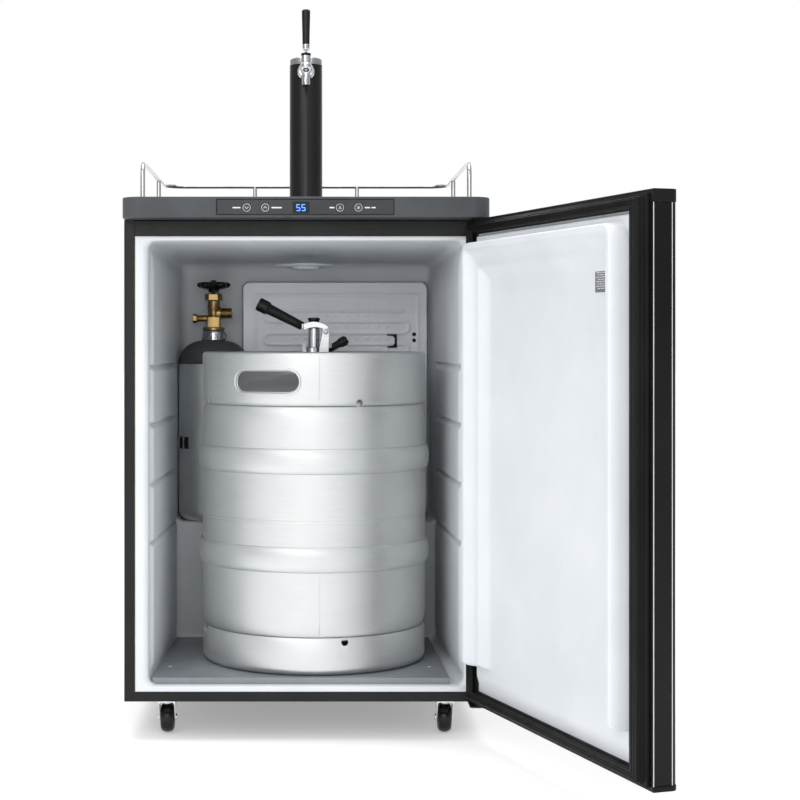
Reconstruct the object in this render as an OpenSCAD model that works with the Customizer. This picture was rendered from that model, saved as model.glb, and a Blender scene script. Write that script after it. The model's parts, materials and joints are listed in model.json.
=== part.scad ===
// Free-standing kegerator: cabinet on casters, open door, keg, gas cylinder and draft tower.
// Origin on the ground at the centre of the caster rectangle; +X right, +Y to the back, +Z up.

/* [Cabinet] */
// Width of the cabinet over its side panels
cabinet_w = 600; // [598:1:604]
// Depth from the front flange to the back panel
cabinet_d = 584; // [584:1:590]
// Height of the cabinet's underside above the ground
cabinet_z0 = 67; // [67:0.5:68]
// Height of the worktop's underside
top_z = 861; // [860:0.5:861]
// Thickness of the worktop
top_t = 34; // [34:1:37]
// Overhang of the worktop in front of the cabinet
top_overhang = 50; // [48:1:56]
// Width of the black front flanges
flange_w = 18.5; // [18:0.5:19]
// Thickness of the sheet steel
sheet = 1.2; // [1:0.1:1.4]

/* [Liner] */
// Half width of the opening at the front plane
open_half = 271; // [270:1:272]
// Radius of the rounded lip at the sides of the opening
lip_r = 11; // [10:1:12]
// Half width of the cavity at its back wall
back_half = 243; // [242:0.5:244]
// Depth of the back wall behind the front plane
cavity_d = 528; // [526:1:529]
// Height of the cavity's floor
floor_z = 93.5; // [93:0.5:94]
// Height of the ceiling at the opening and at the back
ceiling_front_z = 826; // [824:1:827]
ceiling_back_z = 815; // [812:1:818]
// Depth and height of the compressor step
step_d = 420; // [419:1:422]
step_z = 321; // [321:0.5:321.5]
// Thickness of the liner
liner_t = 1.5; // [1.2:0.1:1.6]

/* [Door] */
// Angle at which the door stands open
door_open = 108; // [0:1:118]
// Place of the hinge pin: to the right, and behind the front plane
hinge_x = 284; // [283.5:0.5:285]
hinge_d = -28; // [-28.5:0.5:-27]
// Lowest and highest level of the door
door_z0 = 71.6; // [71.6:0.1:72]
door_z1 = 858.5; // [857.5:0.1:858.5]
// Thickness of the door's metal part and of its gasket
door_t = 38; // [37:1:39]
gasket_t = 14; // [14:0.5:15]
// Height of the door liner's ridges over the gasket plane
ridge_h = 22; // [20:1:23]

/* [Keg] */
// Place of the keg's axis, right and behind the front plane
keg_x = 14; // [10:1:16]
keg_d = 215; // [214:1:217]
// Radius of the keg's wall and of its rolling rings
keg_r = 197; // [195:0.5:198]
ring_r = 203.5; // [202:0.5:204]
// Level of the keg's foot and of its top rim
keg_z0 = 104.3; // [104.3:0.1:105]
keg_z1 = 643; // [640:1:645]

/* [Gas cylinder] */
// Place of the cylinder's axis, right and behind the front plane
gas_x = -177; // [-178:0.5:-176]
gas_d = 455; // [453:1:456]
// Radius of the cylinder
gas_r = 66.7; // [64:0.1:66.7]

/* [Tower and tap] */
// Depth of the tower's axis behind the front plane
tower_d = 320; // [318:1:322]
// Radius of the tower's column
tower_r = 30; // [30:0.5:31]
// Height of the tap's axis
tap_z = 1152; // [1150:1:1153]
// Distance of the tap's spout in front of the tower's axis
tap_reach = 80; // [80:0.5:81]

/* [Casters] */
// Distance of each caster from the middle, across and along
caster_x = 234; // [232:1:235]
caster_y = 232; // [230:1:233]
// Radius and width of a caster's wheel
wheel_r = 25; // [25:0.5:25.5]
wheel_w = 23; // [22:0.5:23.5]
// Distance of the wheel's axle behind the swivel axis
caster_trail = 18; // [17:0.5:19]

/* [Hidden] */
$fn = 48;
half_w = cabinet_w / 2;
front_y = -cabinet_d / 2;
back_y = cabinet_d / 2;
gap = 0.3;
panel_top = top_z - 0.2;
foam_top = top_z - 2.6;
top_face = top_z + top_t;
rail_h = 16;
liner_flange_z0 = 83.2;
liner_flange_z1 = 833.8;
flange_half = half_w - flange_w;
foam_in = liner_t + 0.2;
bay_front_d = 453;
bay_top = 285;
bay_half = back_half + 1.5;
plug_z = 566;
plate_top = 104;
key_z = top_z + 16;
key_xs = [-96, -66, 55, 85];
key_r = 7;
display_x = -8;
fascia_d = -top_overhang + 0.6;
rail_r = 4;
rail_z = 959.5;
rail_x = 272;
rail_front_d = 30;
rail_mid_d = 337;
rail_back_d = 461;
rail_corner = 40;
rail_back_x = 98;
tray_d0 = 160;
tray_d1 = 270;
tray_half = 80;
tray_h = 16;
tower_y = front_y + tower_d;
column_z0 = top_face + 12;
column_z1 = 1167;
tap_y = tower_y - tap_reach;
lever_z = tap_z + 20;
lever_arm = 16;
keg_y = front_y + keg_d;
weld_lo = 167;
weld_hi = 553;
gas_y = front_y + gas_d;
coupler_pivot = [21, 678];
fork_z1 = 57;
door_in = -gasket_t;
door_out = -gasket_t - door_t;

// ---- helpers -------------------------------------------------------------

// Distance behind the front plane, as a y value
function at(d) = front_y + d;

// Quarter ellipse from angle a0 to a1 round a centre
function arc(c, rx, ry, a0, a1, n = 6) =
  [for (i = [0:n]) let (a = a0 + (a1 - a0) * i / n) [c[0] + rx * cos(a), c[1] + ry * sin(a)]];

// A cosine bulge on a wall of radius r0, from z - h to z + h
function bulge(r0, r1, z, h, n = 10) =
  [for (i = [0:n]) let (s = 2 * i / n - 1) [r0 + (r1 - r0) * (1 + cos(180 * s)) / 2, z + h * s]];

function reversed(list) = [for (i = [len(list) - 1:-1:0]) list[i]];

module block(lo, hi) translate(lo) cube(hi - lo);

module rod_x(r, x0, x1, y, z) translate([x0, y, z]) rotate([0, 90, 0]) cylinder(r = r, h = x1 - x0);

module rod_y(r, y0, y1, x, z) translate([x, y1, z]) rotate([90, 0, 0]) cylinder(r = r, h = y1 - y0);

module rod_z(r, z0, z1, x, y) translate([x, y, z0]) cylinder(r = r, h = z1 - z0);

// A (y, z) outline run along X, and an (x, z) outline run along Y
module along_x(x0, x1) translate([x0, 0, 0]) rotate([90, 0, 90]) linear_extrude(x1 - x0) children();

module along_y(y0, y1) translate([0, y1, 0]) rotate([90, 0, 0]) linear_extrude(y1 - y0) children();

module along_z(z0, z1) translate([0, 0, z0]) linear_extrude(z1 - z0) children();

// A rectangle from lo to hi with its own radius at each end of Y
module soft_rect(lo, hi, r_lo, r_hi) {
  difference() {
    translate(lo) square(hi - lo);
    for (s = [0, 1]) {
      translate([s ? hi[0] : lo[0], lo[1]]) corner(r_lo, s ? -1 : 1, 1);
      translate([s ? hi[0] : lo[0], hi[1]]) corner(r_hi, s ? -1 : 1, -1);
    }
  }
}

// The waste outside a rounded corner whose sharp point is at the origin
module corner(r, sx, sy) {
  difference() {
    translate([sx > 0 ? -1 : -r, sy > 0 ? -1 : -r]) square(r + 1);
    translate([sx * r, sy * r]) circle(r);
  }
}

module stadium(w, h) {
  square([w - h, h], center = true);
  for (s = [-1, 1]) translate([s * (w - h) / 2, 0]) circle(h / 2);
}

module mirrored(side) mirror([side < 0 ? 1 : 0, 0, 0]) children();

// ---- cabinet -------------------------------------------------------------

// Plan of the cavity, grown outwards by g
function cavity_plan(g) = let (
  right = concat([[open_half, at(-1)]],
    [for (a = [0:15:90]) [open_half - (lip_r - g) * sin(a), at(lip_r - (lip_r - g) * cos(a))]],
    [[back_half + g, at(cavity_d + g)]]))
  concat(right, [for (p = reversed(right)) [-p[0], p[1]]]);

// Side view of the cavity, grown outwards by g
function cavity_side(g) = [[at(-1), floor_z - g], [at(step_d + g), floor_z - g],
  [at(step_d + g), step_z - g], [at(cavity_d + g), step_z - g],
  [at(cavity_d + g), ceiling_back_z + g], [front_y, ceiling_front_z + g],
  [at(-1), ceiling_front_z + g]];

module cavity(g) {
  intersection() {
    along_z(floor_z - 5, ceiling_front_z + 5) polygon(cavity_plan(g));
    along_x(-half_w, half_w) polygon(cavity_side(g));
  }
}

module side_panel(side) {
  color("#1b1b1d") mirrored(side) difference() {
    along_z(cabinet_z0, panel_top) difference() {
      soft_rect([flange_half, front_y], [half_w, back_y], 3, 0.1);
      translate([flange_half - 1, front_y + sheet])
        square([flange_w - sheet + 1, cabinet_d]);
    }
    // mitre where the side flange meets the bottom rail
    along_y(front_y - 1, front_y + sheet + 0.1)
      polygon([[half_w + 0.1, cabinet_z0 - 1], [half_w + 0.1, cabinet_z0 + 0.2],
               [flange_half, cabinet_z0 + rail_h + 0.2], [flange_half - 2, cabinet_z0 - 1]]);
    // notch for a hinge bracket
    block([flange_half - 1, front_y - 1, panel_top - 2.2], [half_w - sheet, front_y + sheet + 1, panel_top + 1]);
  }
}

module back_panel() {
  color("#232325") along_y(back_y - sheet, back_y) difference() {
    translate([-half_w + 1.4, cabinet_z0 + 1.4]) square([cabinet_w - 2.8, foam_top - cabinet_z0 - 1.4]);
    translate([-bay_half + 1, cabinet_z0]) square([2 * bay_half - 2, bay_top - cabinet_z0]);
  }
}

module base_pan() {
  color("#1b1b1d") {
    block([-half_w + 1.4, front_y, cabinet_z0], [half_w - 1.4, back_y - 1.4, cabinet_z0 + sheet]);
    along_y(front_y, front_y + sheet)
      polygon([[-half_w + 0.3, cabinet_z0], [half_w - 0.3, cabinet_z0],
               [flange_half, cabinet_z0 + rail_h], [-flange_half, cabinet_z0 + rail_h]]);
    // rails that carry the compressor
    for (d = [480, 555]) block([70, at(d), cabinet_z0 + sheet], [240, at(d + 12), cabinet_z0 + 5]);
  }
}

module top_rail() {
  color("#1b1b1d") {
    block([-flange_half + gap, front_y, 834], [flange_half - gap, front_y + sheet, foam_top]);
    block([-open_half, front_y, foam_top], [open_half, at(30), foam_top + sheet]);
  }
}

module side_insulation() {
  color("khaki") for (side = [-1, 1]) mirrored(side)
    along_z(cabinet_z0 + 1.5, foam_top)
      polygon([[half_w - 1.4, at(1.7)], [half_w - 1.4, back_y - 1.4], [bay_half, back_y - 1.4],
               [back_half + foam_in, at(cavity_d)], [open_half - lip_r + foam_in, at(lip_r)],
               [open_half - 1, at(1.7)]]);
}

module rear_insulation() {
  color("khaki") block([-bay_half, at(cavity_d + foam_in), step_z - foam_in],
                       [bay_half, back_y - 1.4, foam_top]);
}

module top_insulation() {
  color("khaki") difference() {
    intersection() {
      along_z(ceiling_back_z, foam_top)
        polygon([[-open_half + lip_r - foam_in, at(1.7)], [open_half - lip_r + foam_in, at(1.7)],
                 [bay_half, at(cavity_d + foam_in)], [-bay_half, at(cavity_d + foam_in)]]);
      along_x(-half_w, half_w)
        polygon([[front_y, ceiling_front_z + foam_in], [at(cavity_d + foam_in), ceiling_back_z + foam_in],
                 [at(cavity_d + foam_in), foam_top], [front_y, foam_top]]);
    }
    rod_z(17, 800, 870, 0, tower_y);
  }
}

module floor_insulation() {
  color("khaki") intersection() {
    along_z(cabinet_z0, step_z) polygon([[-open_half + lip_r - foam_in, at(1.7)],
      [open_half - lip_r + foam_in, at(1.7)], [bay_half, at(cavity_d)], [bay_half, back_y - 1.4],
      [-bay_half, back_y - 1.4], [-bay_half, at(cavity_d)]]);
    union() {
      block([-half_w, front_y, cabinet_z0 + 1.5], [half_w, at(bay_front_d), floor_z - foam_in]);
      block([-half_w, at(step_d + foam_in), cabinet_z0 + 1.5],
            [half_w, at(bay_front_d), step_z - foam_in]);
      block([-half_w, at(step_d + foam_in), bay_top], [half_w, back_y, step_z - foam_in]);
    }
  }
}

module inner_liner() {
  color("white") difference() {
    union() {
      block([-flange_half + gap, front_y, liner_flange_z0],
            [flange_half - gap, front_y + liner_t, liner_flange_z1]);
      intersection() {
        cavity(liner_t);
        block([-half_w, front_y + 0.5, 0], [half_w, back_y, top_z]);
      }
    }
    cavity(0);
    rod_z(17, 800, 870, 0, tower_y);
  }
}

module port_caps() {
  color("whitesmoke") {
    rod_z(27, 812, 818.4, 0, tower_y);
    rod_z(16.5, 818.4, 834, 0, tower_y);
    rod_x(20, 246, 249.4, at(290), plug_z);
  }
}

module evaporator_plate() {
  color("#9aa0a4") {
    y0 = at(514);
    along_y(y0, y0 + sheet) difference() {
      translate([-124, 326]) square([361, 452]);
      for (sx = [0, 1], sz = [0, 1])
        translate([sx ? 237 : -124, sz ? 778 : 326]) corner(14, sx ? -1 : 1, sz ? -1 : 1);
    }
    // the refrigerant passage, embossed to and fro across the plate
    for (i = [0:8]) rod_x(3, -70, 190, y0, 370 + 44 * i);
    for (i = [0:7]) translate([i % 2 ? -70 : 190, y0, 392 + 44 * i]) rotate([90, 0, 0])
      rotate([0, 0, i % 2 ? 90 : -90]) rotate_extrude(angle = 180) translate([22, 0]) circle(3);
    // standoffs to the back wall
    for (x = [-100, 215], z = [350, 755]) rod_y(5, y0 + sheet, at(cavity_d - 0.2), x, z);
  }
}

module floor_plate() {
  color("#7d8186") {
    plan = [[-255, at(12)], [238, at(12)], [231, at(402)], [-244, at(402)]];
    along_z(plate_top - sheet, plate_top) polygon(plan);
    block([-255, at(12), floor_z + 0.2], [238, at(12) + sheet, plate_top - sheet]);
    for (y = [130, 260, 390]) block([-230, at(y), floor_z + 0.2], [220, at(y) + sheet, plate_top - sheet]);
    for (x = [-233, 212]) rod_z(4, plate_top, plate_top + 1.4, x, at(112));
  }
}

module compressor() {
  x = 150;
  y = at(520);
  color("#1d1d1f") {
    translate([x, y, 0]) rotate_extrude() polygon(concat([[0, 84]],
      arc([32, 112], 28, 28, -90, 0), [[60, 150], [62, 150], [62, 154], [60, 154], [60, 190]],
      arc([0, 190], 60, 42, 0, 90)));
    block([x - 72, y - 48, 80], [x + 72, y + 48, 86]);
    for (sx = [-1, 1], sy = [-1, 1]) rod_z(9, 72.2, 80, x + 62 * sx, y + 38 * sy);
    block([x - 80, y - 25, 130], [x - 58, y + 25, 185]);
  }
}

module condenser_coil() {
  color("#2a2a2c") {
    x0 = -225;
    x1 = -75;
    line_x = 92;
    rows = 7;
    pitch = 24;
    for (col = [0, 1]) {
      y = at(490 + 45 * col);
      // the last run at the front and the first at the back go on to the compressor
      for (i = [0:rows - 1]) rod_x(3, x0, (col == 0 && i == rows - 1) || (col == 1 && i == 0) ? line_x : x1,
                                   y, 90 + pitch * i);
      for (i = [0:rows - 2]) let (left = (i + col) % 2 == 1)
        translate([left ? x0 : x1, y, 90 + pitch * (i + 0.5)]) rotate([90, 0, 0])
          rotate([0, 0, left ? 90 : -90]) rotate_extrude(angle = 180) translate([pitch / 2, 0]) circle(3);
    }
    for (x = [-214, -150, -88]) block([x, at(480), cabinet_z0 + sheet], [x + 2, at(546), 246]);
  }
}

module power_inlet() {
  color("#141414") difference() {
    union() {
      block([-250, back_y, 300], [-214, back_y + 3, 334]);
      block([-247, back_y + 3, 304], [-217, back_y + 12, 330]);
    }
    block([-244, back_y + 4, 308], [-220, back_y + 13, 326]);
  }
  color("silver") for (dx = [-7, 0, 7])
    block([-233 + dx, back_y + 3.5, 315], [-231 + dx, back_y + 11, 320]);
}

module hinge_brackets() {
  color("#1b1b1d") {
    block([272, at(hinge_d - 9), panel_top - 2], [half_w - 1.5, at(38), panel_top]);
    rod_z(4, door_z1 - 14, panel_top - 2, hinge_x, at(hinge_d));
    block([267, at(hinge_d - 9), cabinet_z0 - 3], [half_w - 1, at(60), cabinet_z0]);
    rod_z(8, cabinet_z0, door_z0 - gap, hinge_x, at(hinge_d));
    rod_z(4, cabinet_z0, door_z0 + 8, hinge_x, at(hinge_d));
  }
}

// ---- casters -------------------------------------------------------------

module caster_plates() {
  color("silver") for (sx = [-1, 1], sy = [-1, 1]) translate([sx * caster_x, sy * caster_y, 0]) {
    block([-31, -28, 64.5], [31, 28, cabinet_z0]);
    rod_z(5, 52, 64.5, 0, 0);
    rod_z(7.5, 51.4, fork_z1 - 3 - gap, 0, 0);
  }
}

module caster_fork(sx, sy) {
  color("silver") translate([sx * caster_x, sy * caster_y, 0]) difference() {
    union() {
      rod_z(16.5, fork_z1 - 3, 64.2, 0, 0);
      block([-14.6, -8, fork_z1 - 3], [14.6, caster_trail + 9, fork_z1]);
      for (s = [-1, 1]) mirrored(s) along_x(12.1, 14.6)
        polygon([[-8, fork_z1 - 3], [caster_trail + 9, fork_z1 - 3], [caster_trail + 7, wheel_r - 4],
                 [caster_trail + 4, wheel_r - 7], [caster_trail - 4, wheel_r - 7],
                 [caster_trail - 7, wheel_r - 3]]);
      rod_x(3, -16, 16, caster_trail, wheel_r);
      for (s = [-1, 1]) mirrored(s) rod_x(5.5, 14.6, 16.6, caster_trail, wheel_r);
    }
    rod_z(5.05, 50, 70, 0, 0);
  }
}

module caster_wheel(sx, sy) {
  color("#101010") translate([sx * caster_x, sy * caster_y + caster_trail, wheel_r])
    rotate([0, 90, 0]) rotate_extrude()
      polygon(concat([[3.05, -wheel_w / 2], [9, -wheel_w / 2], [9, -wheel_w / 2 + 1.5],
        [18, -wheel_w / 2 + 1.5], [18, -wheel_w / 2 + 0.5]],
        arc([20, 0], 5, wheel_w / 2 - 0.5, -90, 90, 10),
        [[18, wheel_w / 2 - 0.5], [18, wheel_w / 2 - 1.5], [9, wheel_w / 2 - 1.5],
         [9, wheel_w / 2], [3.05, wheel_w / 2]]));
}

// ---- worktop, controls and rail -------------------------------------------

module worktop() {
  color("#2c2d30") difference() {
    along_z(top_z, top_face)
      soft_rect([-half_w, at(-top_overhang)], [half_w, back_y], 30, 10);
    block([-145, at(-top_overhang - 1), top_z + 4], [143, at(fascia_d + 3.2), top_face - 4]);
    for (x = key_xs) rod_y(10, at(-top_overhang - 1), at(fascia_d + 10), x, key_z);
    block([display_x - 16, at(-top_overhang - 1), key_z - 10],
          [display_x + 16, at(fascia_d + 10), key_z + 10]);
    rod_z(17, top_z - 1, top_face + 1, 0, tower_y);
  }
}

module control_fascia() {
  color("#26272a") difference() {
    block([-144, at(fascia_d), top_z + 5], [142, at(fascia_d + 3), top_face - 5]);
    for (x = key_xs) rod_y(key_r + gap, at(fascia_d - 1), at(fascia_d + 4), x, key_z);
    block([display_x - 13.3, at(fascia_d - 1), key_z - 9.3],
          [display_x + 13.3, at(fascia_d + 4), key_z + 9.3]);
  }
}

module display_module() {
  color("#0c0d12") {
    block([display_x - 13, at(fascia_d + 0.1), key_z - 9], [display_x + 13, at(fascia_d + 4), key_z + 9]);
    block([display_x - 15, at(fascia_d + 4), key_z - 9.5], [display_x + 15, at(fascia_d + 9), key_z + 9.5]);
  }
}

module key(i) {
  color("#2c2d30") {
    rod_y(key_r, at(fascia_d - 0.9), at(fascia_d + 5), key_xs[i], key_z);
    rod_y(key_r + 2, at(fascia_d + 3.4), at(fascia_d + 5), key_xs[i], key_z);
  }
}

module guard_rail() {
  bend = 20;
  color("silver") {
    for (side = [-1, 1]) mirrored(side) {
      // front post and its bend into the side rail
      rod_z(rail_r, top_face, rail_z - bend, rail_x, at(rail_front_d));
      translate([rail_x, at(rail_front_d + bend), rail_z - bend]) rotate([0, 90, 0])
        rotate([0, 0, 180]) rotate_extrude(angle = 90) translate([bend, 0]) circle(rail_r);
      rod_y(rail_r, at(rail_front_d + bend), at(rail_back_d - rail_corner), rail_x, rail_z);
      translate([rail_x - rail_corner, at(rail_back_d - rail_corner), rail_z])
        rotate_extrude(angle = 90) translate([rail_corner, 0]) circle(rail_r);
      rod_z(rail_r, top_face, rail_z, rail_x, at(rail_mid_d));
      rod_z(rail_r, top_face, rail_z, rail_back_x, at(rail_back_d));
      for (p = [[rail_x, rail_front_d], [rail_x, rail_mid_d], [rail_back_x, rail_back_d]])
        rod_z(rail_r + 4, top_face, top_face + 4, p[0], at(p[1]));
    }
    rod_x(rail_r, -rail_x + rail_corner, rail_x - rail_corner, at(rail_back_d), rail_z);
  }
}

module drip_tray() {
  color("silver") difference() {
    along_z(top_face, top_face + tray_h)
      soft_rect([-tray_half, at(tray_d0)], [tray_half, at(tray_d1)], 12, 12);
    along_z(top_face + 1.5, top_face + tray_h + 1)
      soft_rect([-tray_half + 6, at(tray_d0 + 6)], [tray_half - 6, at(tray_d1 - 6)], 7, 7);
    along_z(top_face + tray_h - 2.5, top_face + tray_h + 1)
      soft_rect([-tray_half + 2, at(tray_d0 + 2)], [tray_half - 2, at(tray_d1 - 2)], 10, 10);
  }
}

module drip_grille() {
  color("gainsboro") along_z(top_face + tray_h - 2.5, top_face + tray_h - 0.5) difference() {
    soft_rect([-tray_half + 2.4, at(tray_d0 + 2.4)], [tray_half - 2.4, at(tray_d1 - 2.4)], 9.6, 9.6);
    for (i = [-6:6]) translate([10.5 * i, at((tray_d0 + tray_d1) / 2)]) rotate([0, 0, 90]) stadium(84, 5);
  }
}

// ---- tower and tap ---------------------------------------------------------

module tower_base() {
  color("#1b1b1d") translate([0, tower_y, 0]) rotate_extrude()
    polygon(concat([[17, top_face], [46, top_face], [46, top_face + 3]],
      arc([tower_r, top_face + 3], 16, 9, 0, 90), [[17, column_z0]]));
  color("silver") for (a = [45:90:315]) translate([0, tower_y, 0]) rotate([0, 0, a])
    rod_z(3.5, top_face + 5, top_face + 12, 38.5, 0);
}

module tower_column() {
  color("#121214") difference() {
    rod_z(tower_r, column_z0, column_z1, 0, tower_y);
    rod_z(tower_r - 2.5, column_z0 - 1, column_z1 + 1, 0, tower_y);
    rod_y(11.05, tower_y - 40, tower_y, 0, tap_z);
  }
}

module tower_cap() {
  color("silver") translate([0, tower_y, 0]) rotate_extrude()
    polygon(concat([[0, column_z1 + 0.1], [tower_r - 6, column_z1 + 0.1], [tower_r - 6, column_z1 - 3],
      [tower_r - 2.7, column_z1 - 3], [tower_r - 2.7, column_z1 + 0.1], [tower_r + 0.6, column_z1 + 0.1], [tower_r + 0.6, column_z1 + 9]],
      arc([tower_r - 3.4, column_z1 + 9], 4, 4, 0, 90), [[0, column_z1 + 13.5]]));
}

module tap_shank() {
  color("silver") difference() {
    union() {
      // collar, shaped to sit on the round column
      difference() {
        rod_y(15.5, tower_y - tower_r - 5, tower_y - tower_r + 6, 0, tap_z);
        rod_z(tower_r, tap_z - 20, tap_z + 20, 0, tower_y);
      }
      rod_y(11, tower_y - tower_r - 14, tower_y + 16, 0, tap_z);
      translate([0, tower_y - 6, tap_z]) rotate([90, 0, 0]) cylinder(r = 15, h = 8, $fn = 6);
    }
    rod_y(5, tower_y - tower_r - 15, tower_y + 17, 0, tap_z);
  }
}

module faucet_body() {
  color("gainsboro") difference() {
    union() {
      rod_y(13.5, tower_y - tower_r - 22, tower_y - tower_r - 8, 0, tap_z);
      translate([0, tap_y, tap_z]) rotate([-90, 0, 0]) rotate_extrude()
        polygon([[0, -18], [5.5, -18], [8.6, -16], [10, -12.5], [10, 29], [0, 29]]);
      rod_z(9, tap_z, lever_z - 5.2, 0, tap_y);
      rod_z(7.2, 1123, tap_z, 0, tap_y);
      rod_z(6.5, 1117, 1123, 0, tap_y);
    }
    rod_y(11.1, tower_y - tower_r - 14.2, tower_y - tower_r - 7, 0, tap_z);
    rod_y(7, tap_y - 7, tower_y - tower_r - 14, 0, tap_z);
    rod_z(7.7, tap_z, lever_z, 0, tap_y);
    rod_z(4.5, 1116, tap_z, 0, tap_y);
  }
}

module faucet_bonnet() {
  color("#17181a") difference() {
    rod_z(8.7, lever_z - 5.2, lever_z + 5, 0, tap_y);
    translate([0, tap_y, lever_z]) sphere(7.3);
    rod_z(7.3, lever_z - 6, lever_z, 0, tap_y);
  }
}

module faucet_plunger() {
  color("silver") difference() {
    union() {
      rod_y(6.7, tap_y - 6, tap_y + 6, 0, tap_z);
      rod_y(2.5, tap_y + 5, tower_y - tower_r - 21, 0, tap_z);
      rod_y(6.4, tower_y - tower_r - 24, tower_y - tower_r - 21, 0, tap_z);
    }
    block([-2.9, tap_y - 3.6, tap_z + 0.5], [2.9, tap_y + 3.6, tap_z + 8]);
  }
}

module tap_lever() {
  color("silver") {
    translate([0, tap_y, lever_z]) sphere(7);
    rod_z(1.9, lever_z - lever_arm, lever_z, 0, tap_y);
    rod_z(2.5, lever_z, lever_z + 12, 0, tap_y);
    translate([0, tap_y, lever_z + 9.5]) rotate_extrude()
      polygon([[0, 0], [5.4, 0], [6.7, 3], [6.7, 11], [0, 11]]);
  }
}

module tap_handle() {
  z0 = lever_z + 20.5;
  color("#17181a") translate([0, tap_y, z0]) rotate_extrude()
    polygon(concat([[0, 0], [6.4, 0], [7.7, 57]], arc([4.7, 60], 3, 3, 0, 90), [[0, 63.5]]));
}

// ---- door ------------------------------------------------------------------

module door_place() {
  translate([hinge_x, at(hinge_d), 0]) rotate([0, 0, door_open])
    translate([-hinge_x, -at(hinge_d), 0]) children();
}

module hinge_hole() rod_z(4.05, door_z0 - 1, door_z1 + 1, hinge_x, at(hinge_d));

module door_skin() {
  color("#141416") door_place() along_z(door_z0 + 8, door_z1 - 18) difference() {
    soft_rect([-half_w, at(door_out + 1)], [half_w, at(door_in)], 9, 0.1);
    soft_rect([-half_w + 0.9, at(door_out + 1.9)], [half_w - 0.9, at(door_in - 0.9)], 8.1, 0.1);
    translate([-half_w + 14, at(door_in - 2)]) square([cabinet_w - 28, 5]);
    translate([hinge_x, at(hinge_d)]) circle(4.5);
  }
}

module door_end_caps() {
  color("#19191b") door_place() difference() {
    for (z = [[door_z0, door_z0 + 8], [door_z1 - 18, door_z1]])
      along_z(z[0], z[1]) soft_rect([-half_w - 1, at(door_out)], [half_w + 1, at(door_in)], 10, 1);
    hinge_hole();
  }
}

module door_insulation() {
  color("khaki") door_place() difference() {
    union() {
      along_z(door_z0 + 8, door_z1 - 18)
        soft_rect([-half_w + 1.2, at(door_out + 2.2)], [half_w - 1.2, at(door_in - 1.1)], 8, 0.1);
      door_liner_form(1.7);
    }
    rod_z(6, door_z0, door_z1, hinge_x, at(hinge_d));
  }
}

// Half of the door liner's moulded shape, solid, shrunk by t
module door_liner_form(t) {
  block([-252 + t, at(door_in - 1), 98 + t], [252 - t, at(-6 - t), 832 - t]);
  for (side = [-1, 1]) mirrored(side) along_z(141 + t, 819 - t)
    polygon([[250 - t, at(-7 - t)], [249 - t, at(ridge_h - 4 - t)], [246 - t, at(ridge_h - t)],
             [235 + t / 2, at(ridge_h - t)], [212 + t / 2, at(-3 - t)], [204 + t, at(-7 - t)]]);
  along_x(-216, 216)
    polygon([[at(-7 - t), 764 + t], [at(-3 - t), 774 + t], [at(ridge_h - t), 807 + t],
             [at(ridge_h - t), 816 - t], [at(ridge_h - 3 - t), 819 - t], [at(-7 - t), 819 - t]]);
}

module door_liner() {
  color("white") door_place() difference() {
    union() {
      block([-284, at(door_in), 84], [284, at(door_in + 1.4), 846]);
      door_liner_form(0);
    }
    door_liner_form(1.4);
    block([-300, at(door_in - 5), 60], [300, at(door_in), 860]);
  }
}

module door_gasket() {
  // each frame: its two depths, and the half widths of its inside and outside
  frames = [[door_in + 1.5, -8.5, 254, 291], [-8.5, -4, 262, 284], [-4, -0.5, 258, 280]];
  middle = 465;
  taller_in = 114;
  taller_out = 97;
  color("#0e0e10") door_place() for (f = frames) difference() {
    block([-f[3], at(f[0]), middle - f[3] - taller_out], [f[3], at(f[1]), middle + f[3] + taller_out]);
    block([-f[2], at(f[0] - 1), middle - f[2] - taller_in], [f[2], at(f[1] + 1), middle + f[2] + taller_in]);
  }
}

// ---- keg and coupler ---------------------------------------------------------

// Half section of the keg's pressed shell, made thinner by t
function keg_section(t) = concat(
  [[0, 118 + t], [80, 122 + t], [140, 134 + t], [174 - t, 150 + t], [190 - t, weld_lo]],
  arc([190 - t, 200], 7, 33, -80, 0, 4),
  bulge(keg_r - t, ring_r - t, 297, 21.5), bulge(keg_r - t, ring_r - t, 460.5, 21.5),
  arc([190 - t, 525], 7, 28, 0, 80, 4),
  [[190 - t, weld_hi], [174 - t, 572 - t], [120, 592 - t], [60, 602 - t], [32, 604 - t], [0, 604 - t]]);

module at_keg() translate([keg_x, keg_y, 0]) children();

module keg_shell() {
  color("silver") at_keg() difference() {
    union() {
      rotate_extrude($fn = 96) polygon(keg_section(0));
      rod_z(31, 600, 610, 0, 0);
    }
    rotate_extrude($fn = 96) polygon(keg_section(1.8));
    rod_z(26, 590, 612, 0, 0);
  }
}

module drain_notches(a, z) {
  for (i = [0:3]) rotate([0, 0, a + 90 * i]) translate([0, -keg_r, z]) rotate([90, 0, 0])
    cylinder(r = 6, h = 30, center = true);
}

module keg_top_chime() {
  color("silver") at_keg() difference() {
    rotate_extrude($fn = 96) polygon(concat(
      [[190.3, 554.5], [192.5, 553], [keg_r, 560]],
      arc([keg_r - 6, keg_z1 - 6], 6, 6, 0, 180, 8), arc([keg_r - 6, keg_z1 - 6], 3.6, 3.6, 180, 0, 8),
      [[keg_r - 2.4, 561]]));
    for (a = [-25, 155]) rotate([0, 0, a]) translate([0, -keg_r, 593.5]) rotate([90, 0, 0])
      linear_extrude(40, center = true) stadium(122, 40);
    drain_notches(22.6, 558);
  }
}

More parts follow.
